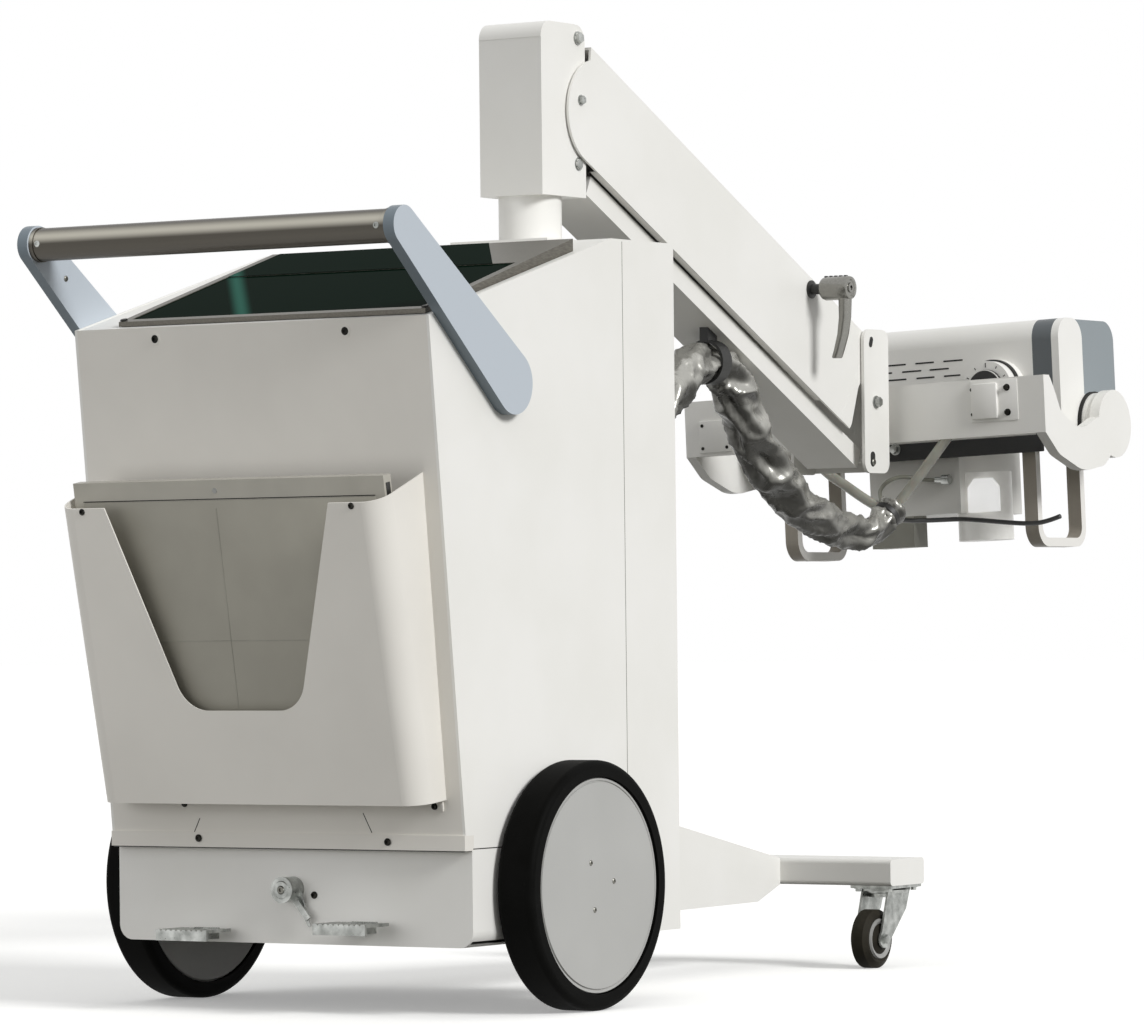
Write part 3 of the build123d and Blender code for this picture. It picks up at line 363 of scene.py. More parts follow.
# The straps are white: their darker rims are painted shade from the tube head above.
strap_coat_shaded_rims = edged_coat("powder_coat_strap", "#e9e7e2", "#a69f94", 0.4)
bronze_bar = bar_with_painted_streak()
edge_trim = anodised_aluminium("anodised_grey_trim", "#5b5851", "#706d65", 0.42, (0.2, 1, 1))
bright_zinc = zinc_plated_steel("zinc_plated_steel", "#8d8f8c", "#b9bbb8")
dull_steel = zinc_plated_steel("dull_zinc_plate", "#76756f", "#7f7e78")
lever_casting = anodised_aluminium(
    "satin_chrome_casting", "#83827d", "#8f8e89", 0.24, metallic=0.85
)
dark_screw = zinc_plated_steel("blackened_steel", "#1c1c1b", "#34332f", 0.45)
tyre_rubber = moulded_rubber("moulded_rubber", "#050504", "#0b0b0a", 0.6)
roller_rubber = moulded_rubber("moulded_caster_rubber", "#26241f", "#34312a", 0.5)
black_plastic = moulded_plastic("moulded_nylon_black", "#0d0d0c", "#1b1b19", 0.5)
recess_black = moulded_plastic("shadowed_recess", "#0a0a09", "#151513", 0.8)
detector_shell = moulded_plastic("moulded_abs_grey", "#a6a399", "#aeaba1", 0.4, 1.0)
detector_face = moulded_plastic("moulded_abs_dark_grey", "#949186", "#99968b", 0.42, 1.0)
plate_plastic = moulded_plastic("moulded_abs_putty", "#87867c", "#95948a", 0.5, 1.0)
roller_hub = moulded_plastic("moulded_nylon_grey", "#8b8b88", "#9d9d9a", 0.4, 1.0)
lead_jacket = moulded_plastic("extruded_pvc_grey", "#77776c", "#8d8d80", 0.35, 2.0)
black_jacket = moulded_plastic("extruded_pvc_black", "#0b0b0b", "#1a1a19", 0.35, 2.0)
glass = tinted_glass()
sleeve_cloth = silver_sleeve_cloth()
hose_pvc = clear_hose()
# Both acrylics glow: painted light, standing in for how brightly they are lit.
window_acrylic = acrylic_with_painted_glow("polished_acrylic", "#f0f0ec", "#ffffff", 0.08, 0.5)
lamp_shade = acrylic_with_painted_glow("frosted_acrylic", "#e9e8e3", "#f3f2ee", 0.4, 0.12)

# Mesh helpers

SHARP_FROM = 38  # degrees between two faces, from which their edge shows sharp


def turned(profile, steps):
    """A turned shape about its own Z, from (radius, height) steps along its side."""
    shape = bmesh.new()
    verts = [shape.verts.new((radius, 0, height)) for radius, height in profile]
    edges = [shape.edges.new(pair) for pair in zip(verts, verts[1:])]
    bmesh.ops.spin(
        shape, geom=verts + edges, cent=(0, 0, 0), axis=(0, 0, 1), angle=2 * pi, steps=steps,
        use_merge=True,
    )
    bmesh.ops.remove_doubles(shape, verts=shape.verts, dist=0.001)
    bmesh.ops.recalc_face_normals(shape, faces=shape.faces)
    return shape


def rounded(shape, radius, segments=2, edges=None):
    """Rounds edges, all of them where none are named."""
    bmesh.ops.bevel(
        shape, geom=list(edges or shape.edges), offset=radius, offset_type="OFFSET",
        affect="EDGES", segments=segments, profile=0.5, material=-1, clamp_overlap=True,
    )
    return shape


def block(low, high, radius):
    """A rounded block between two corners."""
    low, high = Vector(low), Vector(high)
    shape = bmesh.new()
    bmesh.ops.create_cube(shape, size=1)
    bmesh.ops.scale(shape, vec=high - low, verts=shape.verts)
    bmesh.ops.translate(shape, vec=(high + low) / 2, verts=shape.verts)
    return rounded(shape, radius)


def thickened(shape, deep):
    """Pushes flat faces up by a thickness, and closes the shape."""
    pushed = bmesh.ops.extrude_face_region(shape, geom=shape.faces[:])["geom"]
    raised = [part for part in pushed if isinstance(part, bmesh.types.BMVert)]
    bmesh.ops.translate(shape, vec=(0, 0, deep), verts=raised)
    bmesh.ops.recalc_face_normals(shape, faces=shape.faces)


def stadium(long, wide, deep, edge):
    """A round-ended bar lying on its own XY plane, long along X."""
    shape = bmesh.new()
    ring = bmesh.ops.create_circle(shape, cap_ends=True, radius=wide / 2, segments=24)["verts"]
    for vert in ring:
        vert.co.x += (long - wide) / 2 * (1 if vert.co.x > 0 else -1)
    thickened(shape, deep)
    tops = [e for e in shape.edges if all(v.co.z > deep / 2 for v in e.verts)]
    return rounded(shape, edge, 1, tops)


def prism(corners, deep):
    """A plate on its own XY plane with these corners, and this thickness."""
    shape = bmesh.new()
    shape.faces.new([shape.verts.new((x, y, 0)) for x, y in corners])
    thickened(shape, deep)
    return shape


def lofted(stations):
    """A closed shape through level ovals, each ((x, y, z), half along X, half along Y)."""
    shape = bmesh.new()
    below = None
    for centre, wide, deep in stations:
        ring = bmesh.ops.create_circle(shape, radius=1, segments=24)["verts"]
        place = Matrix.Translation(centre) @ Matrix.Diagonal((wide, deep, 1, 1))
        bmesh.ops.transform(shape, matrix=place, verts=ring)
        loop = list({edge for vert in ring for edge in vert.link_edges})
        if below:
            bmesh.ops.bridge_loops(shape, edges=below + loop)
        else:
            bmesh.ops.contextual_create(shape, geom=loop)
        below = loop
    bmesh.ops.contextual_create(shape, geom=below)
    bmesh.ops.recalc_face_normals(shape, faces=shape.faces)
    return shape


def hex_bolt(across, high):
    """A hexagon head with a chamfered crown and a washer under it."""
    whole = turned([(across * 0.72, 0), (across * 0.72, high * 0.22), (0, high * 0.22)], 24)
    head, out = bmesh.new(), across / 1.732
    bmesh.ops.create_cone(head, cap_ends=True, segments=6, radius1=out, radius2=out, depth=high)
    bmesh.ops.translate(head, vec=(0, 0, high * 0.7), verts=head.verts)
    tops = [e for e in head.edges if all(v.co.z > high for v in e.verts)]
    join(whole, rounded(head, high * 0.18, 2, tops))
    return whole


def socket_screw(radius, high):
    """A domed screw with a drive socket in its crown."""
    steps = ((0, 0.35), (0.42, 0.35), (0.45, 1), (0.8, 0.85), (1, 0.35), (1, 0))
    return turned([(radius * out, high * up) for out, up in steps], 24)


def join(whole, part, place=Matrix()):
    """Adds a part to a whole, put in its place."""
    part.transform(place)
    carrier = bpy.data.meshes.new("carrier")
    part.to_mesh(carrier)
    whole.from_mesh(carrier)
    bpy.data.meshes.remove(carrier)
    part.free()


def shown(name, data):
    """An object of the scene."""
    made = bpy.data.objects.new(name, data)
    bpy.context.scene.collection.objects.link(made)
    return made


def finished(name, shape, material):
    """A shape, already in the frame, as an object of one finish."""
    mesh = bpy.data.meshes.new(name)
    shape.to_mesh(mesh)
    shape.free()
    mesh.materials.append(material)
    mesh.shade_smooth()
    return shown(name, mesh)


def piece(name, shape, material, body, place=Matrix()):
    """A finished piece, put in its place and riding on its body."""
    shape.transform(TO_FRAME @ place)
    made = finished(name, shape, material)
    made.data.set_sharp_from_angle(angle=radians(SHARP_FROM))
    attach(made, body)
    return made


def many(name, parts, material, body, place=Matrix()):
    """Like parts of one finish on one body, made as one piece from (shape, place) pairs."""
    whole = bmesh.new()
    for shape, at in parts:
        join(whole, shape, at)
    return piece(name, whole, material, body, place)


# Cabinet: its rear panel, flange and pocket


def rear_fasteners():
    """Screws and washers of the rear panel, and the screws of the flange under it."""
    upper, lower = ((147.4, 629.8), (-147.9, 629.5)), ((134.6, 220.3), (-159.2, 219))
    panel = [REAR_PANEL @ facing((0, y, height), TO_REAR) for y, height in upper]
    flange = [facing((-217, y, z), TO_REAR) for y, z in lower]
    screws = [(socket_screw(5.2, 2.4), at) for at in panel]
    screws += [(socket_screw(4.8, 2.4), at) for at in flange]
    many("rear_panel_screws", screws, dark_screw, "chassis")
    rings = [(turned([(5, 0), (8, 0), (8, 0.5), (5, 0.5)], 24), at) for at in panel]
    many("rear_panel_washers", rings, panel_coat_shaded, "chassis")


def pocket_fasteners():
    """Screws at the pocket's ears and under its floor, and the tab at its corner."""
    ear = -97.6
    screws = [
        (socket_screw(4.2, 2.2), POCKET @ facing((ear, y, 376), TO_REAR)) for y in (208.5, -207.4)
    ]
    screws += [
        (socket_screw(4.4, 3.0), POCKET @ facing((0, y, -8), TO_REAR)) for y in (155.6, -231.5)
    ]
    many("pocket_screws", screws, dark_screw, "chassis")
    tab = block((-3, -246, -14), (0, -241, -1), 0.6)
    piece("pocket_tab", tab, panel_coat_shaded, "chassis", POCKET)


def flange_shadow_line():
    """A dark line of painted shadow between the flange and the base box."""
    low, high = (TO_FRAME.inverted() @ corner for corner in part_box("base_flange"))
    inset, thick = 3, 1.4
    shadow_strip = block(
        (low.x + 0.6, low.y + inset, low.z - thick), (low.x + 6, high.y - inset, low.z), 0.3
    )
    piece("flange_shadow_line", shadow_strip, black_plastic, "chassis")


def lower_slits():
    """Two slanted relief slits in the rear panel's lower strip."""
    parts = []
    ends = (((144.1, -1.5), (132.8, 17.9)), ((-133.7, 1.9), (-122.1, 26.9)))
    for (y_low, low), (y_high, high) in ends:
        run = hypot(y_high - y_low, high - low)
        lean = atan2(y_high - y_low, high - low)
        middle = (0.3, (y_low + y_high) / 2, (low + high) / 2)
        slit = stadium(run, 1.1, 0.6, 0.1)
        turn = Matrix.Rotation(-lean, 4, "X") @ rotated(-90, "Y")
        parts.append((slit, Matrix.Translation(middle) @ turn))
    many("relief_slits", parts, recess_black, "chassis", REAR_PANEL)


def latch():
    """The latch on the base box: a turned knob face, its flat spring lever and a screw."""
    side_view = [(0, 0), (5, 0), (5.6, 1.6), (10.5, 1.6), (11.6, 0.4), (16.6, 0.4), (16.6, -3)]
    face = turned(side_view, 40)
    piece("knob_face", face, bright_zinc, "chassis", facing((-226.4, -2, 157), TO_REAR))
    bolt_place = facing((-226.2, -2, 157), TO_REAR)
    piece("knob_bolt", socket_screw(5.4, 3.2), dull_steel, "chassis", bolt_place)
    lever = prism([(-3.4, 6), (3.4, 6), (3.2, -28), (4.4, -44), (0.4, -44), (-3.4, -30)], 2.2)
    rounded(lever, 0.6, 1)
    swing = facing((-206, -17, 152), TO_REAR) @ rotated(16, "Z")
    piece("latch_lever", lever, bright_zinc, "chassis", swing)
    screw_place = facing((-200, -34, 150), TO_REAR)
    piece("latch_screw", socket_screw(4.6, 3.4), dark_screw, "chassis", screw_place)


# Brake pedals

PEDALS = (("left", 130, 106), ("right", -115, 118))
PEDAL_HALF = 40
TREAD_REAR = -262


def pedal_treads():
    """A saw-toothed grip strip along each tread."""
    tooth, count = 3.6, 11
    for side, y, z in PEDALS:
        parts = []
        for number in range(count):
            at = (TREAD_REAR + 30, y - PEDAL_HALF + 4 + number * tooth, z)
            wedge = prism([(0, 0), (tooth * 0.8, 0), (tooth * 0.4, 2.0)], 5)
            turn = rotated(90, "Z") @ rotated(90, "X")
            parts.append((wedge, Matrix.Translation(at) @ turn))
        many(f"pedal_grip_{side}", parts, bright_zinc, "chassis")


for build in (rear_fasteners, pocket_fasteners, flange_shadow_line, lower_slits, latch, pedal_treads):
    build()

# Screen deck and push handle

# The grip bar's middle and radius
GRIP_X, GRIP_Z, GRIP_R = -354, 975.5, 20.6


def handle_fasteners():
    """The grip bar's end screws and collars, and the screw inside the far plate."""
    rear_x = GRIP_X - GRIP_R
    screws = [
        (socket_screw(4.2, 1.6), facing((rear_x, y, GRIP_Z), TO_REAR)) for y in (-262, 262)
    ]
    many("grip_screws", screws, bright_zinc, "chassis")
    ring = [(20.9, -3), (22.2, -3), (22.2, 3), (20.9, 3)]
    collars = [(turned(ring, 48), facing((GRIP_X, y, GRIP_Z), TO_LEFT)) for y in (-272, 272)]
    many("grip_collars", collars, bronze_bar, "chassis")
    plate_screw = socket_screw(4.0, 1.6)
    inside_far_plate = facing((-300, 275, 935), TO_RIGHT)
    piece("plate_screw", plate_screw, dull_steel, "chassis", inside_far_plate)


def screen_trim():
    """Corner caps of the screen's frame, and the dark glass on its shelf's left part."""
    shelf_glass = prism([(227, 200), (347, 200), (347, -133), (227, -216)], 0.6)
    piece("shelf_glass", shelf_glass, glass, "chassis", DECK)
    cap = [(0, 1.4), (4.2, 1.4), (5, 0.6), (5, 0)]
    caps = [(turned(cap, 20), facing((6, y, 0.8), UP)) for y in (-258, 209)]
    many("frame_corner_caps", caps, dark_screw, "chassis", DECK)


handle_fasteners()
screen_trim()

# Detector

# The detector leans back in the pocket
PANEL = POCKET @ Matrix.Translation((-46, 0, 1.5)) @ rotated(-3.6, "Y")
PANEL_HALF = 240
FIELD_TOP = 384
FIELD_MIDDLE = 206
FIELD_CENTRE = 18


def detector_face_panel():
    """The detector's sunk field with its centre lines, its rim groove, catch and lamp."""
    field = block((-0.8, -226, 6), (3, 226, FIELD_TOP), 0.6)
    piece("detector_field", field, detector_face, "detector", PANEL)
    upright = (-0.9, FIELD_CENTRE, FIELD_TOP / 2)
    level = (-0.9, 0, FIELD_MIDDLE)
    turn = rotated(90, "Z")
    lines = [
        (stadium(FIELD_TOP - 20, 0.9, 0.3, 0.05), facing(upright, TO_REAR) @ turn),
        (stadium(440, 0.9, 0.3, 0.05), facing(level, TO_REAR)),
    ]
    many("detector_centre_lines", lines, plate_plastic, "detector", PANEL)
    rim = [(stadium(452, 1.2, 0.5, 0.05), facing((-0.6, 0, FIELD_TOP + 1.5), TO_REAR))]
    many("detector_rim_groove", rim, recess_black, "detector", PANEL)
    catch = block((4, -PANEL_HALF - 1.2, 384), (12, -PANEL_HALF + 1, 400), 0.5)
    piece("detector_catch", catch, black_plastic, "detector", PANEL)
    lamp = turned([(0, 0.5), (2.2, 0.5), (3.4, 0.8), (3.4, 0)], 20)
    lamp_place = PANEL @ facing((0, FIELD_CENTRE, 396), TO_REAR)
    piece("detector_lamp", lamp, roller_hub, "detector", lamp_place)


detector_face_panel()

# Wheels and casters

# The rear wheels' discs, then the casters' track, roller axles and swivel pivots
WHEEL_Z = 158
DISC_R = 137
DISC_BACK, DISC_FACE = 282, 331.5
CASTER_Y = 205
ROLLER_X, ROLLER_Z = 893, 41
PIVOT_X, RACE_Z, PLATE_LOW = 935, 103.5, 111


def wheel_discs():
    """The flat steel disc over each rear wheel, with its rolled rim and three screws."""
    face = DISC_FACE - DISC_BACK
    side_view = [
        (0, 0), (DISC_R - 3, 0), (DISC_R, 3), (DISC_R, face - 4), (DISC_R - 2, face - 0.8),
        (DISC_R - 4.6, face - 0.8), (DISC_R - 5.4, face - 2.4), (DISC_R - 6.2, face - 2.4),
        (DISC_R - 7, face), (60, face + 0.3), (0, face + 0.4),
    ]
    spots = ((-18.8, 187.1), (-10.8, 127.7), (34, 162.2))
    for side, sign in (("left", 1), ("right", -1)):
        body, outward = f"rear_wheel_{side}", (0, sign, 0)
        disc_place = facing((0, sign * DISC_BACK, WHEEL_Z), outward)
        made = piece(f"wheel_cover_{side}", turned(side_view, 96), disc_coat, body, disc_place)
        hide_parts(f"wheel_disc_{side}")
        front = sign * (DISC_FACE + 0.3)
        screws = [(socket_screw(3.6, 1.4), facing((x, front, z), outward)) for x, z in spots]
        many(f"disc_screws_{side}", screws, dull_steel, body)
        bead = turned([(DISC_R + 1.5, -1.5), (DISC_R + 3, 0.8), (DISC_R + 4.5, -1.5)], 96)
        bead_place = facing((0, sign * (DISC_FACE + 1.5), WHEEL_Z), outward)
        piece(f"tyre_bead_{side}", bead, tyre_rubber, body, bead_place)


def caster_trim():
    """The casters' axle bolts, race rings, plate bolts and grey hubs."""
    hub = [(5, 0), (6, 1.6), (13, 1.2), (15, -1), (22, -1.5), (25, 1), (27, 1.2), (28.5, -2)]
    for side, sign in (("left", 1), ("right", -1)):
        y = sign * CASTER_Y

        def beside(out):
            """Places on the roller's axle, this far out on either side."""
            return [facing((ROLLER_X, y + face * out, ROLLER_Z), (0, face, 0)) for face in (1, -1)]

        hubs = [(turned(hub, 40), at) for at in beside(15)]
        many(f"caster_hub_{side}", hubs, roller_hub, f"caster_roller_{side}")
        bolts = [(hex_bolt(11, 5), at) for at in beside(21.5)]
        many(f"caster_bolts_{side}", bolts, bright_zinc, f"caster_{side}")
        race = turned([(24, 0), (30, 0), (31, 1.5), (31, 4.5), (28, 6), (24, 6)], 40)
        race_place = Matrix.Translation((PIVOT_X, y, RACE_Z))
        piece(f"caster_race_{side}", race, bright_zinc, f"caster_{side}", race_place)
        studs = [
            (hex_bolt(8, 4), facing((PIVOT_X + dx, y + dy, PLATE_LOW), DOWN))
            for dx in (-34, 34)
            for dy in (-25, 25)
        ]
        many(f"caster_plate_bolts_{side}", studs, bright_zinc, "chassis")


wheel_discs()
caster_trim()

# Side seams

CAB_SIDE = 275


def side_seams():
    """Hairline joints between the cabinet's side sheets, its front cover and the base box."""
    parts = []
    for sign in (1, -1):
        outward = (0, sign, 0)
        turn = rotated(90, "Z")
        at = sign * (CAB_SIDE - 0.2)
        parts.append((stadium(890, 1.1, 0.4, 0.05), facing((157, at, 535), outward) @ turn))
        parts.append((stadium(352, 1.3, 0.4, 0.05), facing((-22, at, 211), outward)))
    many("side_seams", parts, dull_steel, "chassis")


side_seams()

# Column head and arm

# How far out the arm cover's faces stand, and where the end bracket's right cheek is
COVER_FACE = 56
BRACKET_RIGHT = -63


def head_skin():
    """The head's rounded top sheet, folded over from its rear face."""
    centre_x, centre_z, outside, inside = 335, 1272, 22.4, 20.8
    front, wide = 396, 99.6

    def corner(radius, step):
        """A point of the rounding, a tenth of its quarter turn for each step."""
        turn = radians(180 - 9 * step)
        return centre_x + radius * cos(turn), centre_z + radius * sin(turn)

    outer = [corner(outside, step) for step in range(11)]
    inner = [corner(inside, step) for step in reversed(range(11))]
    lid = [(front, centre_z + outside), (front, centre_z + inside)]
    skin = prism(outer + lid + inner, wide)
    upright = Matrix.Translation((0, wide / 2, 0)) @ rotated(90, "X")
    piece("head_skin", skin, white_coat, "column", upright)


def head_bolts():
    """Hexagon bolts on both arm pins, and the cover's screw."""
    bolts = [
        (hex_bolt(13, high), facing((x, sign * 50, z), (0, sign, 0)))
        for x, z, high in ((PIN_X, PIN_TOP, 6), (PIN_X, PIN_LOW, 2.4))
        for sign in (1, -1)
    ]
    many("head_pin_bolts", bolts, bright_zinc, "column")
    cover_place = facing((399.7, -COVER_FACE, 1191.9), TO_RIGHT)
    piece("cover_bolt", hex_bolt(10, 5), bright_zinc, "arm", cover_place)


def bracket_bolts():
    """The end bracket's bolt, holes and pin on its right cheek."""
    bolt_place = facing((1166.4, BRACKET_RIGHT, 803.5), TO_RIGHT)
    piece("bracket_bolt", hex_bolt(13, 7), bright_zinc, "bracket", bolt_place)
    rows = ((22, 13, 1155.8, 720.4, 90), (16, 9, 1154, 890.5, 70))
    holes = []
    for long, wide, x, z, lean in rows:
        at = facing((x, BRACKET_RIGHT, z), TO_RIGHT) @ rotated(lean, "Z")
        holes.append((stadium(long, wide, 0.6, 0.1), at))
    many("bracket_holes", holes, recess_black, "bracket")
    pin = turned([(0, 2.2), (4, 2.2), (5, 1.4), (5, 0)], 24)
    pin_place = facing((1157, BRACKET_RIGHT - 0.3, 716), TO_RIGHT)
    piece("bracket_pin", pin, dull_steel, "bracket", pin_place)


LEVER_X, LEVER_Z = 998, 961
LEVER_OUT = 75


def cover_cheeks():
    """The lower front corners of the arm's cover, and the lips folded in along its lower edge."""
    corner = [(826, -142.6), (856, -142.6), (858, -134), (850, -60), (840, -60)]
    upright = rotated(90, "X")
    parts = [
        (prism(corner, 3), ARM @ Matrix.Translation((0, y, 0)) @ upright) for y in (-53.15, 56.15)
    ]
    many("cover_corners", parts, white_coat, "arm")
    lips = [
        (block((114, y - 4.6, -142.6), (770, y + 4.6, -141.2), 0.3), Matrix()) for y in (-48, 48)
    ]
    many("cover_lips", lips, white_coat, "arm", ARM)


def clamp_lever():
    """The arm's clamp: a ribbed head with a socket screw, and a bent grip cast with it."""
    side_view = [
        (0, 0), (12, 0), (15.4, 3), (17, 7), (17, 44), (16, 47.2), (12, 48), (10.8, 46.4),
        (7.6, 46.4), (7.2, 48), (3.4, 48), (3.4, 42), (0, 42),
    ]
    at = facing((LEVER_X, -LEVER_OUT, LEVER_Z), TO_RIGHT)
    lever = turned(side_view, 48)
    # Across, down from the head, and half the grip's width along X and along Y
    rows = (
        (-112, 0, 9.5, 10), (-112.5, 18, 9, 9.8), (-112, 42, 8.6, 9), (-108.5, 66, 8.4, 8.4),
        (-102, 88, 8.2, 7.8), (-98.5, 98, 8, 7.6), (-98, 100, 6.5, 6.2),
    )
    grip = lofted([((LEVER_X, y, LEVER_Z - drop), wide, deep) for y, drop, wide, deep in rows])
    whole = bmesh.new()
    join(whole, lever, at)
    join(whole, grip)
    made = piece("bent_clamp_lever", whole, lever_casting, "arm")
    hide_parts("clamp_lever")
    reach = LEVER_OUT - COVER_FACE
    stud = turned([(0, 0), (13, 0), (13, 2), (7.5, 3), (7.5, reach), (0, reach)], 32)
    stud_place = facing((LEVER_X, -COVER_FACE, LEVER_Z), TO_RIGHT)
    piece("lever_stud", stud, black_plastic, "arm", stud_place)
    over = Matrix.Translation((LEVER_X, 0, LEVER_Z))
    ribs = [
        (block((-3.4, y - 2.2, 13.4), (3.4, y + 2.2, 18.2), 1.0), over)
        for y in (-82, -90, -98, -106, -114)
    ]
    many("lever_ribs", ribs, black_plastic, "arm")
    ring = turned([(2.9, 42.2), (6.2, 42.2), (6.2, 46.6), (2.9, 46.6)], 32)
    piece("lever_socket", ring, dark_screw, "arm", at)


head_skin()
head_bolts()
bracket_bolts()
cover_cheeks()
clamp_lever()

# Tube head

# The housing's rear face, and the axis that it tilts about
TUBE_REAR = 1349
TILT_X, TILT_Z = 1446, 760
DIAL_AT = (1310.75, -168, 817)
WINDOW_AT = (1387, -114, 665)
# Each row's height, and where its slots start and end across the machine
VENT_ROWS = (
    (865, ((21, -12), (-28, -60), (-76, -109))),
    (854, ((21, 12), (-5, -38), (-52, -85))),
    (843, ((20, -12), (-29, -60), (-76, -104))),
    (832, ((22, 11), (-6, -37), (-52, -85))),
)
# Each slot has its like on the other side, where the two middles add up to this
VENT_MIRROR = 44


def vents():
    """Four staggered rows of cooling slots in the housing's rear face."""
    parts = []
    for z, slots in VENT_ROWS:
        for y_from, y_to in slots:
            long = abs(y_from - y_to)
            middle = (y_from + y_to) / 2
            for y in (middle, VENT_MIRROR - middle):
                slot = stadium(long, 2.4, 0.7, 0.1)
                parts.append((slot, facing((TUBE_REAR + 0.3, y, z), TO_REAR)))
    many("cooling_slots", parts, recess_black, "tube_head", HEAD)


def dial():
    """The rotation dial: a black knob, ticks on its white ring and a dark groove behind."""
    at = facing(DIAL_AT, TO_REAR)
    knob = turned([(28.4, -2), (28.4, 5), (26.5, 7), (6, 7.4), (0, 7.4)], 48)
    piece("dial_knob", knob, black_plastic, "tube_head", HEAD @ at)
    groove = turned([(41.4, -24.5), (43.6, -24.5), (43.6, -17), (41.4, -17)], 48)
    piece("dial_groove", groove, black_plastic, "tube_head", HEAD @ at)
    ticks = []
    for number in range(12):
        long = 7 if number % 3 == 0 else 4
        tick = stadium(long, 1.3, 0.5, 0.1)
        turn = rotated(30 * number, "Z") @ Matrix.Translation((35, 0, 0))
        ticks.append((tick, at @ turn))
    many("dial_ticks", ticks, black_plastic, "tube_head", HEAD)


def housing_shade_strip():
    """A dark strip of painted shade between the tube housing and the collimator."""
    strip = block((TUBE_REAR - 1.5, -236, 722), (TUBE_REAR + 6, 66, 747), 1.2)
    piece("housing_shade_strip", strip, recess_black, "tube_head", HEAD)


def hub_shade_rings():
    """A dark ring of painted shade in the gap between each end cap of the housing and its pivot
    hub.
    """
    ring = [(46, 0), (49.5, 0), (49.5, 6), (46, 6)]
    rings = [
        (turned(ring, 48), facing((TILT_X, side * 269.5, TILT_Z), (0, side, 0)))
        for side in (1, -1)
    ]
    many("hub_shade_rings", rings, recess_black, "tube_head", HEAD)


def yoke_covers():
    """The bearing covers on the yoke's bar, the screws that hold them, and the tilt stop."""
    bar = 1232
    near = [
        (block((bar - 1.5, -263, 764), (bar, -185, 824), 0.7), Matrix()),
        (block((bar - 7, -231, 768), (bar - 0.5, -189, 820), 2.2), Matrix()),
    ]
    many("bearing_cover_right", near, white_coat, "fork_yoke", HEAD)
    screws = [(socket_screw(2.6, 1.6), facing((bar - 1.5, -187.5, z), TO_REAR)) for z in (776, 812)]
    screws += [(hex_bolt(7, 4), facing((bar - 1.5, -246, z), TO_REAR)) for z in (776, 812)]
    many("bearing_screws_right", screws, dark_screw, "fork_yoke", HEAD)
    far = block((bar - 4, 226, 748), (bar, 280, 796), 1.4)
    piece("bearing_cover_left", far, white_coat, "fork_yoke", HEAD)
    marks = [
        (socket_screw(2.6, 1.6), facing((bar - 4, y, z), TO_REAR))
        for y in (232, 274)
        for z in (755, 789)
    ]
    many("bearing_screws_left", marks, dark_screw, "fork_yoke", HEAD)
    stop_place = HEAD @ facing((TUBE_REAR, 11.5, 739.8), TO_REAR)
    piece("tilt_stop_bolt", hex_bolt(12, 8), bright_zinc, "tube_head", stop_place)


def lamp_window():
    """The field lamp's window, with its upper corners cut off; its glow is painted light."""
    out = [(-27, -25), (27, -25), (27, 12), (16, 25), (-16, 25), (-27, 12)]
    pane = prism(out, 3)
    rounded(pane, 0.8, 1)
    place = HEAD @ facing(WINDOW_AT, TO_REAR)
    piece("lamp_window", pane, window_acrylic, "tube_head", place)


for build in (vents, dial, housing_shade_strip, hub_shade_rings, yoke_covers, lamp_window):
    build()

# Cables


def route(name, points, radius, widths=None, crumple=0.0, steps=12, sides=6):
    """A tube round a route's smooth line: its mesh, in the frame, and the line's points."""
    curve = bpy.data.curves.new(name, "CURVE")
    curve.dimensions = "3D"
    curve.resolution_u = steps
    spline = curve.splines.new("NURBS")
    spline.points.add(len(points) - 1)
    for point, at, width in zip(spline.points, points, widths or [1] * len(points)):
        point.co = (*(TO_FRAME @ Vector(at)), 1)
        point.radius = width
    spline.order_u = 3
    spline.use_endpoint_u = True
    holder = bpy.data.objects.new(name, curve)
    line = bpy.data.meshes.new_from_object(holder)
    path = [vert.co.copy() for vert in line.vertices]
    bpy.data.meshes.remove(line)
    curve.bevel_depth = radius * MM
    curve.bevel_resolution = sides
    curve.use_fill_caps = True
    tube = bpy.data.meshes.new_from_object(holder)
    bpy.data.objects.remove(holder)
    shape = bmesh.new()
    shape.from_mesh(tube)
    bpy.data.meshes.remove(tube)
    bmesh.ops.remove_doubles(shape, verts=shape.verts, dist=1e-6)
    bmesh.ops.recalc_face_normals(shape, faces=shape.faces)
    if crumple:
        crumpled(shape, path, crumple)
    return shape, path


FOLD_LONG = 74
FOLD_WIDE = 30
FOLD_TWIST = 0.011
# Small creases in each fold: how much finer and lower, and the level that stays in place
CREASE_FINER, CREASE_SHARE, STILL = 2.3, 0.2, 0.35


def crumpled(shape, path, depth):
    """Pulls the cloth of a sleeve into long flat-sided folds that wind round it.

    The folds are FOLD_LONG and FOLD_WIDE millimetres across, and wind by
    FOLD_TWIST radians for each millimetre of the sleeve.
    """
    shape.normal_update()
    reached = [0.0]
    for a, b in zip(path, path[1:]):
        reached.append(reached[-1] + (b - a).length / MM)
    tree = KDTree(len(path))
    for number, at in enumerate(path):
        tree.insert(at, number)
    tree.balance()
    moves = []
    for vert in shape.verts:
        at, number, away = tree.find(vert.co)
        out = (vert.co - at) / MM
        turn = atan2(out.z, out.y) + reached[number] * FOLD_TWIST
        wide = max(away / MM, 1) / FOLD_WIDE
        spot = Vector((reached[number] / FOLD_LONG, cos(turn) * wide, sin(turn) * wide))
        near, far = noise.voronoi(spot)[0][:2]
        near_crease, far_crease = noise.voronoi(spot * CREASE_FINER)[0][:2]
        rise = (far - near) + CREASE_SHARE * (far_crease - near_crease) - STILL
        moves.append((vert, vert.normal * -depth * MM * rise))
    for vert, move in moves:
        vert.co += move


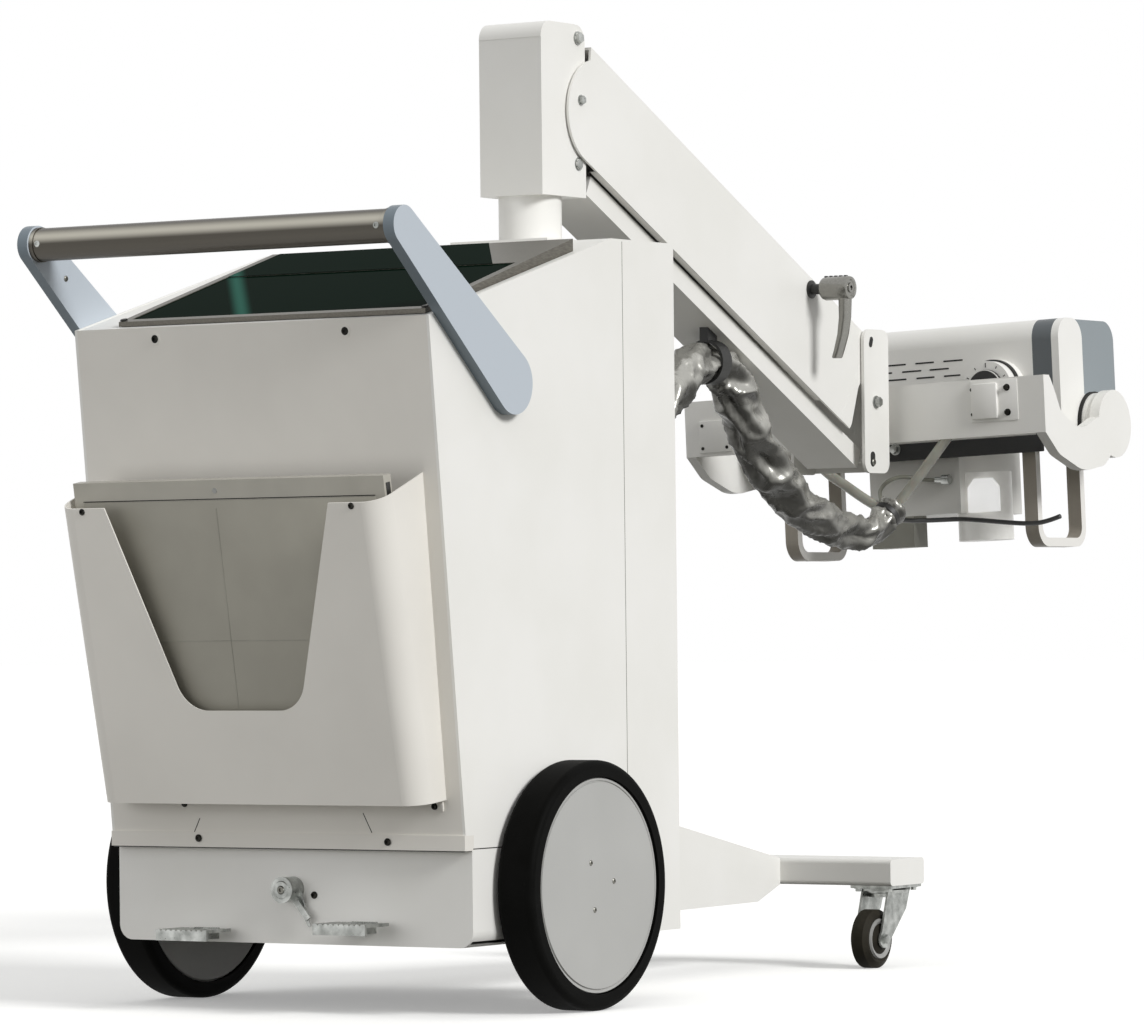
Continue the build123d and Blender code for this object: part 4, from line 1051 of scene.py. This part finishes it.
def split(shape, path):
    """Cuts a tube and its line in two at the middle of its points, square to the line."""
    number = len(path) // 2
    middle, ahead = path[number], (path[number + 1] - path[number - 1]).normalized()
    halves = []
    for inner, outer in ((False, True), (True, False)):
        half = shape.copy()
        everything = half.verts[:] + half.edges[:] + half.faces[:]
        bmesh.ops.bisect_plane(
            half, geom=everything, plane_co=middle, plane_no=ahead, clear_inner=inner,
            clear_outer=outer,
        )
        halves.append(half)
    shape.free()
    return halves, (path[: number + 1], path[number:])


REAR_SLEEVE = (
    (474, -20, 735), (544.9, -20, 735), (610.1, -20, 757), (663.9, -20, 801),
    (711.1, -20, 836.9), (750, -20, 851), (776, -20, 851),
)
FRONT_SLEEVE = (
    (776, -20, 851), (802.2, -20, 851), (836.2, -20, 822.9), (866.3, -20, 775.1),
    (926.6, -20, 709), (999.3, -20, 659.1), (1079.7, -20, 629.1), (1152, -20, 614.4),
    (1206.2, -26.1, 613.2), (1232, -36, 635),
)
NEAR_HOSE = (
    (1238.4, -46.7, 645.7), (1244, -68.1, 672), (1243.1, -102.3, 709), (1240.1, -143, 754.8),
)
FAR_HOSE = (
    (1241, -27.9, 648.9), (1246.1, 2.5, 662.8), (1246.1, 36.8, 685.1),
    (1245.1, 73.1, 706.9), (1241, 111.7, 746.3),
)
SIGNAL_CABLE = (
    (1229.9, -36, 654.3), (1250, -18, 669.2), (1273.9, -8.2, 682.1), (1300.5, -5, 691.9),
    (1328.3, -6, 697.9), (1349.7, -13.1, 697.9), (1362.5, -31.9, 693), (1362.5, -49.9, 693),
)
BLACK_CABLE = (
    (1238, -33.9, 641.4), (1263, -33.9, 635), (1288.9, -42, 632), (1312, -55.3, 632),
    (1330, -76.7, 632.9), (1340.1, -106, 633.9), (1345, -141.9, 630.9), (1346.9, -181.5, 627.1),
    (1346.9, -215.8, 624.9), (1345, -245.1, 627.1), (1343.1, -269.3, 635),
)

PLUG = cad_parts["cable_plug"]

SLEEVE_R = 27
# Each sleeve's route, its width along the way, its solid, and its two halves with their bodies
SLEEVE_ROWS = (
    (
        "rear_sleeve", REAR_SLEEVE, (1, 1, 1, 1, 0.95, 0.82, 0.74), "cable_sleeve_rear",
        (("sleeve_at_gland", "chassis", "column"), ("sleeve_to_hanger", "column", "lower_arm")),
    ),
    (
        "front_sleeve", FRONT_SLEEVE, (0.74, 0.82, 1, 1, 0.97, 0.93, 0.86, 0.76, 0.66, 0.6),
        "cable_sleeve_front",
        (("sleeve_under_arm", "lower_arm", "bracket"), ("sleeve_to_tie", "bracket", "fork_yoke")),
    ),
)


def sleeves():
    """The crumpled silver sleeve, in four lengths."""
    for name, points, widths, node, rows in SLEEVE_ROWS:
        shape, path = route(name, points, SLEEVE_R, widths, crumple=25, steps=26, sides=16)
        halves, lines = split(shape, path)
        for half, line, (half_name, a, b) in zip(halves, lines, rows):
            made = finished(half_name, half, sleeve_cloth)
            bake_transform(made)
            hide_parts(node)


def hoses():
    """The two clear hoses that carry the high-voltage leads up into the yoke."""
    for name, points in (("clear_hose_right", NEAR_HOSE), ("clear_hose_left", FAR_HOSE)):
        shape, path = route(name, points, 7.5)
        made = finished(name, shape, hose_pvc)
        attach(made, "fork_yoke")
        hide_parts("clear_tubes")


def leads():
    """The thin grey lead to the collimator's socket and the black one under it."""
    rows = (
        ("signal_lead", SIGNAL_CABLE, 3, lead_jacket, "signal_cable", "plug", (PLUG,)),
        ("black_lead", BLACK_CABLE, 3.5, black_jacket, "black_cable", "bare", ()),
    )
    for name, points, radius, material, node, far_end, ends in rows:
        shape, path = route(name, points, radius)
        made = finished(name, shape, material)
        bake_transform(made)
        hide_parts(node)


TIE_AT = Vector((1232, -36, 635))
TIE_ALONG = Vector((0.732, -0.282, 0.620))


def tie():
    """The black strap that gathers the sleeve's end, and the cuff of cloth past it."""
    place = facing(TIE_AT, TIE_ALONG)
    strap = turned([(16, 4), (20.5, 4), (21.4, 5), (21.4, 12), (20.5, 13), (16, 13)], 40)
    made = piece("sleeve_strap", strap, black_plastic, "fork_yoke", place)
    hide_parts("cable_tie")
    side_view = [
        (0, -4), (17, -3), (19, 2), (17.5, 8), (18.5, 14), (22, 19), (23, 23), (20.5, 22),
        (16, 16), (0, 12),
    ]
    cuff = turned(side_view, 48)
    bmesh.ops.subdivide_edges(cuff, edges=cuff.edges[:], cuts=1, use_grid_fill=True)
    cuff.transform(TO_FRAME @ place)
    crumpled(cuff, [TO_FRAME @ (TIE_AT + TIE_ALONG * along) for along in range(-6, 26, 4)], 8)
    cuff_piece = finished("sleeve_cuff", cuff, sleeve_cloth)
    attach(cuff_piece, "fork_yoke")


sleeves()
hoses()
leads()
tie()

# Finishes of the pieces from the drawing

FINISHES = {
    white_coat: (
        "base_box", "cabinet_side_left", "cabinet_side_right", "cabinet_front_cover", "cabinet_top",
        "front_leg", "front_crossbeam", "column_housing", "column_post", "column_head",
        "arm_cover", "lower_link", "end_bracket", "yoke", "tube_housing", "tube_pads",
        "pivot_hubs", "collimator", "tube_dial",
    ),
    lamp_shade: ("lamp_cylinder",),
    panel_coat_shaded: ("cabinet_rear_panel", "base_flange", "detector_pocket"),
    plate_coat: ("handle_plates",),
    cap_coat_shaded_rims: ("tube_caps",),
    disc_coat: ("wheel_disc_left", "wheel_disc_right"),
    strap_coat_shaded_rims: ("strap_handles",),
    bronze_bar: ("handle_bar",),
    edge_trim: ("screen_frame",),
    glass: ("screen_glass",),
    detector_shell: ("detector_panel",),
    plate_plastic: ("collimator_plate",),
    bright_zinc: (
        "brake_pedal_left", "brake_pedal_right", "latch_knob", "caster_plates", "caster_fork_left",
        "caster_fork_right", "cable_plug", "rear_axle",
    ),
    lever_casting: ("clamp_lever",),
    tyre_rubber: ("tyre_left", "tyre_right"),
    roller_rubber: ("caster_wheel_left", "caster_wheel_right"),
    black_plastic: ("power_block", "cable_gland", "cable_hanger", "cable_tie"),
}
for finish, nodes in FINISHES.items():
    for node in nodes:
        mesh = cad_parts[node].data
        mesh.materials.clear()
        mesh.materials.append(finish)

# Camera, lights and floor


# The camera's place, its yaw, pitch and roll in degrees, and its lens in the photo's pixels
CAMERA_AT = Vector((-6123.7, -4310.7, 503.5))
CAMERA_TURN = (33.244, 0.974, -0.617)
FOCAL_PIXELS, PHOTO_WIDE_PIXELS = 5791.6, 1144
SENSOR_WIDE = 36


def camera():
    """The photograph's camera: a long lens, low and to the right rear."""
    yaw, pitch, roll = (radians(angle) for angle in CAMERA_TURN)
    ahead = Vector((cos(pitch) * cos(yaw), cos(pitch) * sin(yaw), sin(pitch)))
    right = Vector((sin(yaw), -cos(yaw), 0))
    above = right.cross(ahead)
    right, above = cos(roll) * right + sin(roll) * above, cos(roll) * above - sin(roll) * right
    turn = Matrix((right, above, -ahead)).transposed().to_4x4()
    data = bpy.data.cameras.new("camera")
    data.sensor_fit = "HORIZONTAL"
    data.sensor_width = SENSOR_WIDE
    data.lens = SENSOR_WIDE * FOCAL_PIXELS / PHOTO_WIDE_PIXELS
    data.clip_end = 60
    made = shown("camera", data)
    made.matrix_world = Matrix.Translation(TO_FRAME @ CAMERA_AT) @ turn
    bpy.context.scene.camera = made


KEY_FROM = Vector((-0.12, -0.85, 0.46))
FILL_AT, FILL_AIM = Vector((-2100, 500, 420)), Vector((-250, 0, 520))


def key_light():
    """One broad lamp from the right and above, as a soft studio window."""
    data = bpy.data.lights.new("key", "SUN")
    data.energy = 2.3
    data.angle = radians(18)
    made = shown("key", data)
    made.rotation_euler = KEY_FROM.to_track_quat("Z", "Y").to_euler()


def rear_fill():
    """A large low lamp behind the machine, which evens the shade on its rear."""
    data = bpy.data.lights.new("rear_fill", "AREA")
    data.shape = "RECTANGLE"
    data.size, data.size_y = 1.6, 0.9
    data.energy = 8.5
    made = shown("rear_fill", data)
    made.location = TO_FRAME @ FILL_AT
    away = TO_FRAME @ FILL_AT - TO_FRAME @ FILL_AIM
    made.rotation_euler = away.to_track_quat("Z", "Y").to_euler()
    made.visible_camera = False
    made.visible_glossy = False


def seen_directly(tree):
    """One where the camera, a reflection or clear glass looks, and nought for other light."""
    rays = add(tree, "LightPath")
    seen = rays.outputs["Is Camera Ray"]
    for kind in ("Is Glossy Ray", "Is Transmission Ray"):
        either = add(tree, "Math", {0: seen, 1: rays.outputs[kind]}, operation="MAXIMUM")
        seen = either.outputs["Value"]
    return seen


def white_room():
    """A white room: white to look at, and a plain grey for the light that it gives."""
    world = bpy.data.worlds.new("room")
    bpy.context.scene.world = world
    tree = emptied(world)
    level = add(tree, "MapRange", {"Value": seen_directly(tree), "To Min": 0.56, "To Max": 1.0})
    back = add(tree, "Background", {"Color": (1, 1, 1, 1), "Strength": level.outputs["Result"]})
    add(tree, "OutputWorld", {"Surface": back.outputs["Background"]})


def floor():
    """A plain pale floor: white to look at where no shadow falls, dim under the machine."""
    made = bpy.data.materials.new("studio_floor")
    tree = emptied(made)
    dim = add(tree, "BsdfDiffuse", {"Color": linear("#5a5955")})
    pale = add(tree, "BsdfDiffuse", {"Color": linear("#f2f2f0")})
    glow = add(tree, "Emission", {"Color": (1, 1, 1, 1), "Strength": 0.28})
    lit = add(tree, "AddShader", {0: pale.outputs["BSDF"], 1: glow.outputs["Emission"]})
    sides = {0: seen_directly(tree), 1: dim.outputs["BSDF"], 2: lit.outputs["Shader"]}
    mixed = add(tree, "MixShader", sides)
    add(tree, "OutputMaterial", {"Surface": mixed.outputs["Shader"]})
    shape = bmesh.new()
    bmesh.ops.create_grid(shape, x_segments=1, y_segments=1, size=40)
    plane = finished("floor", shape, made)


camera()
key_light()
rear_fill()
white_room()
floor()
bpy.context.scene.view_settings.view_transform = "Standard"
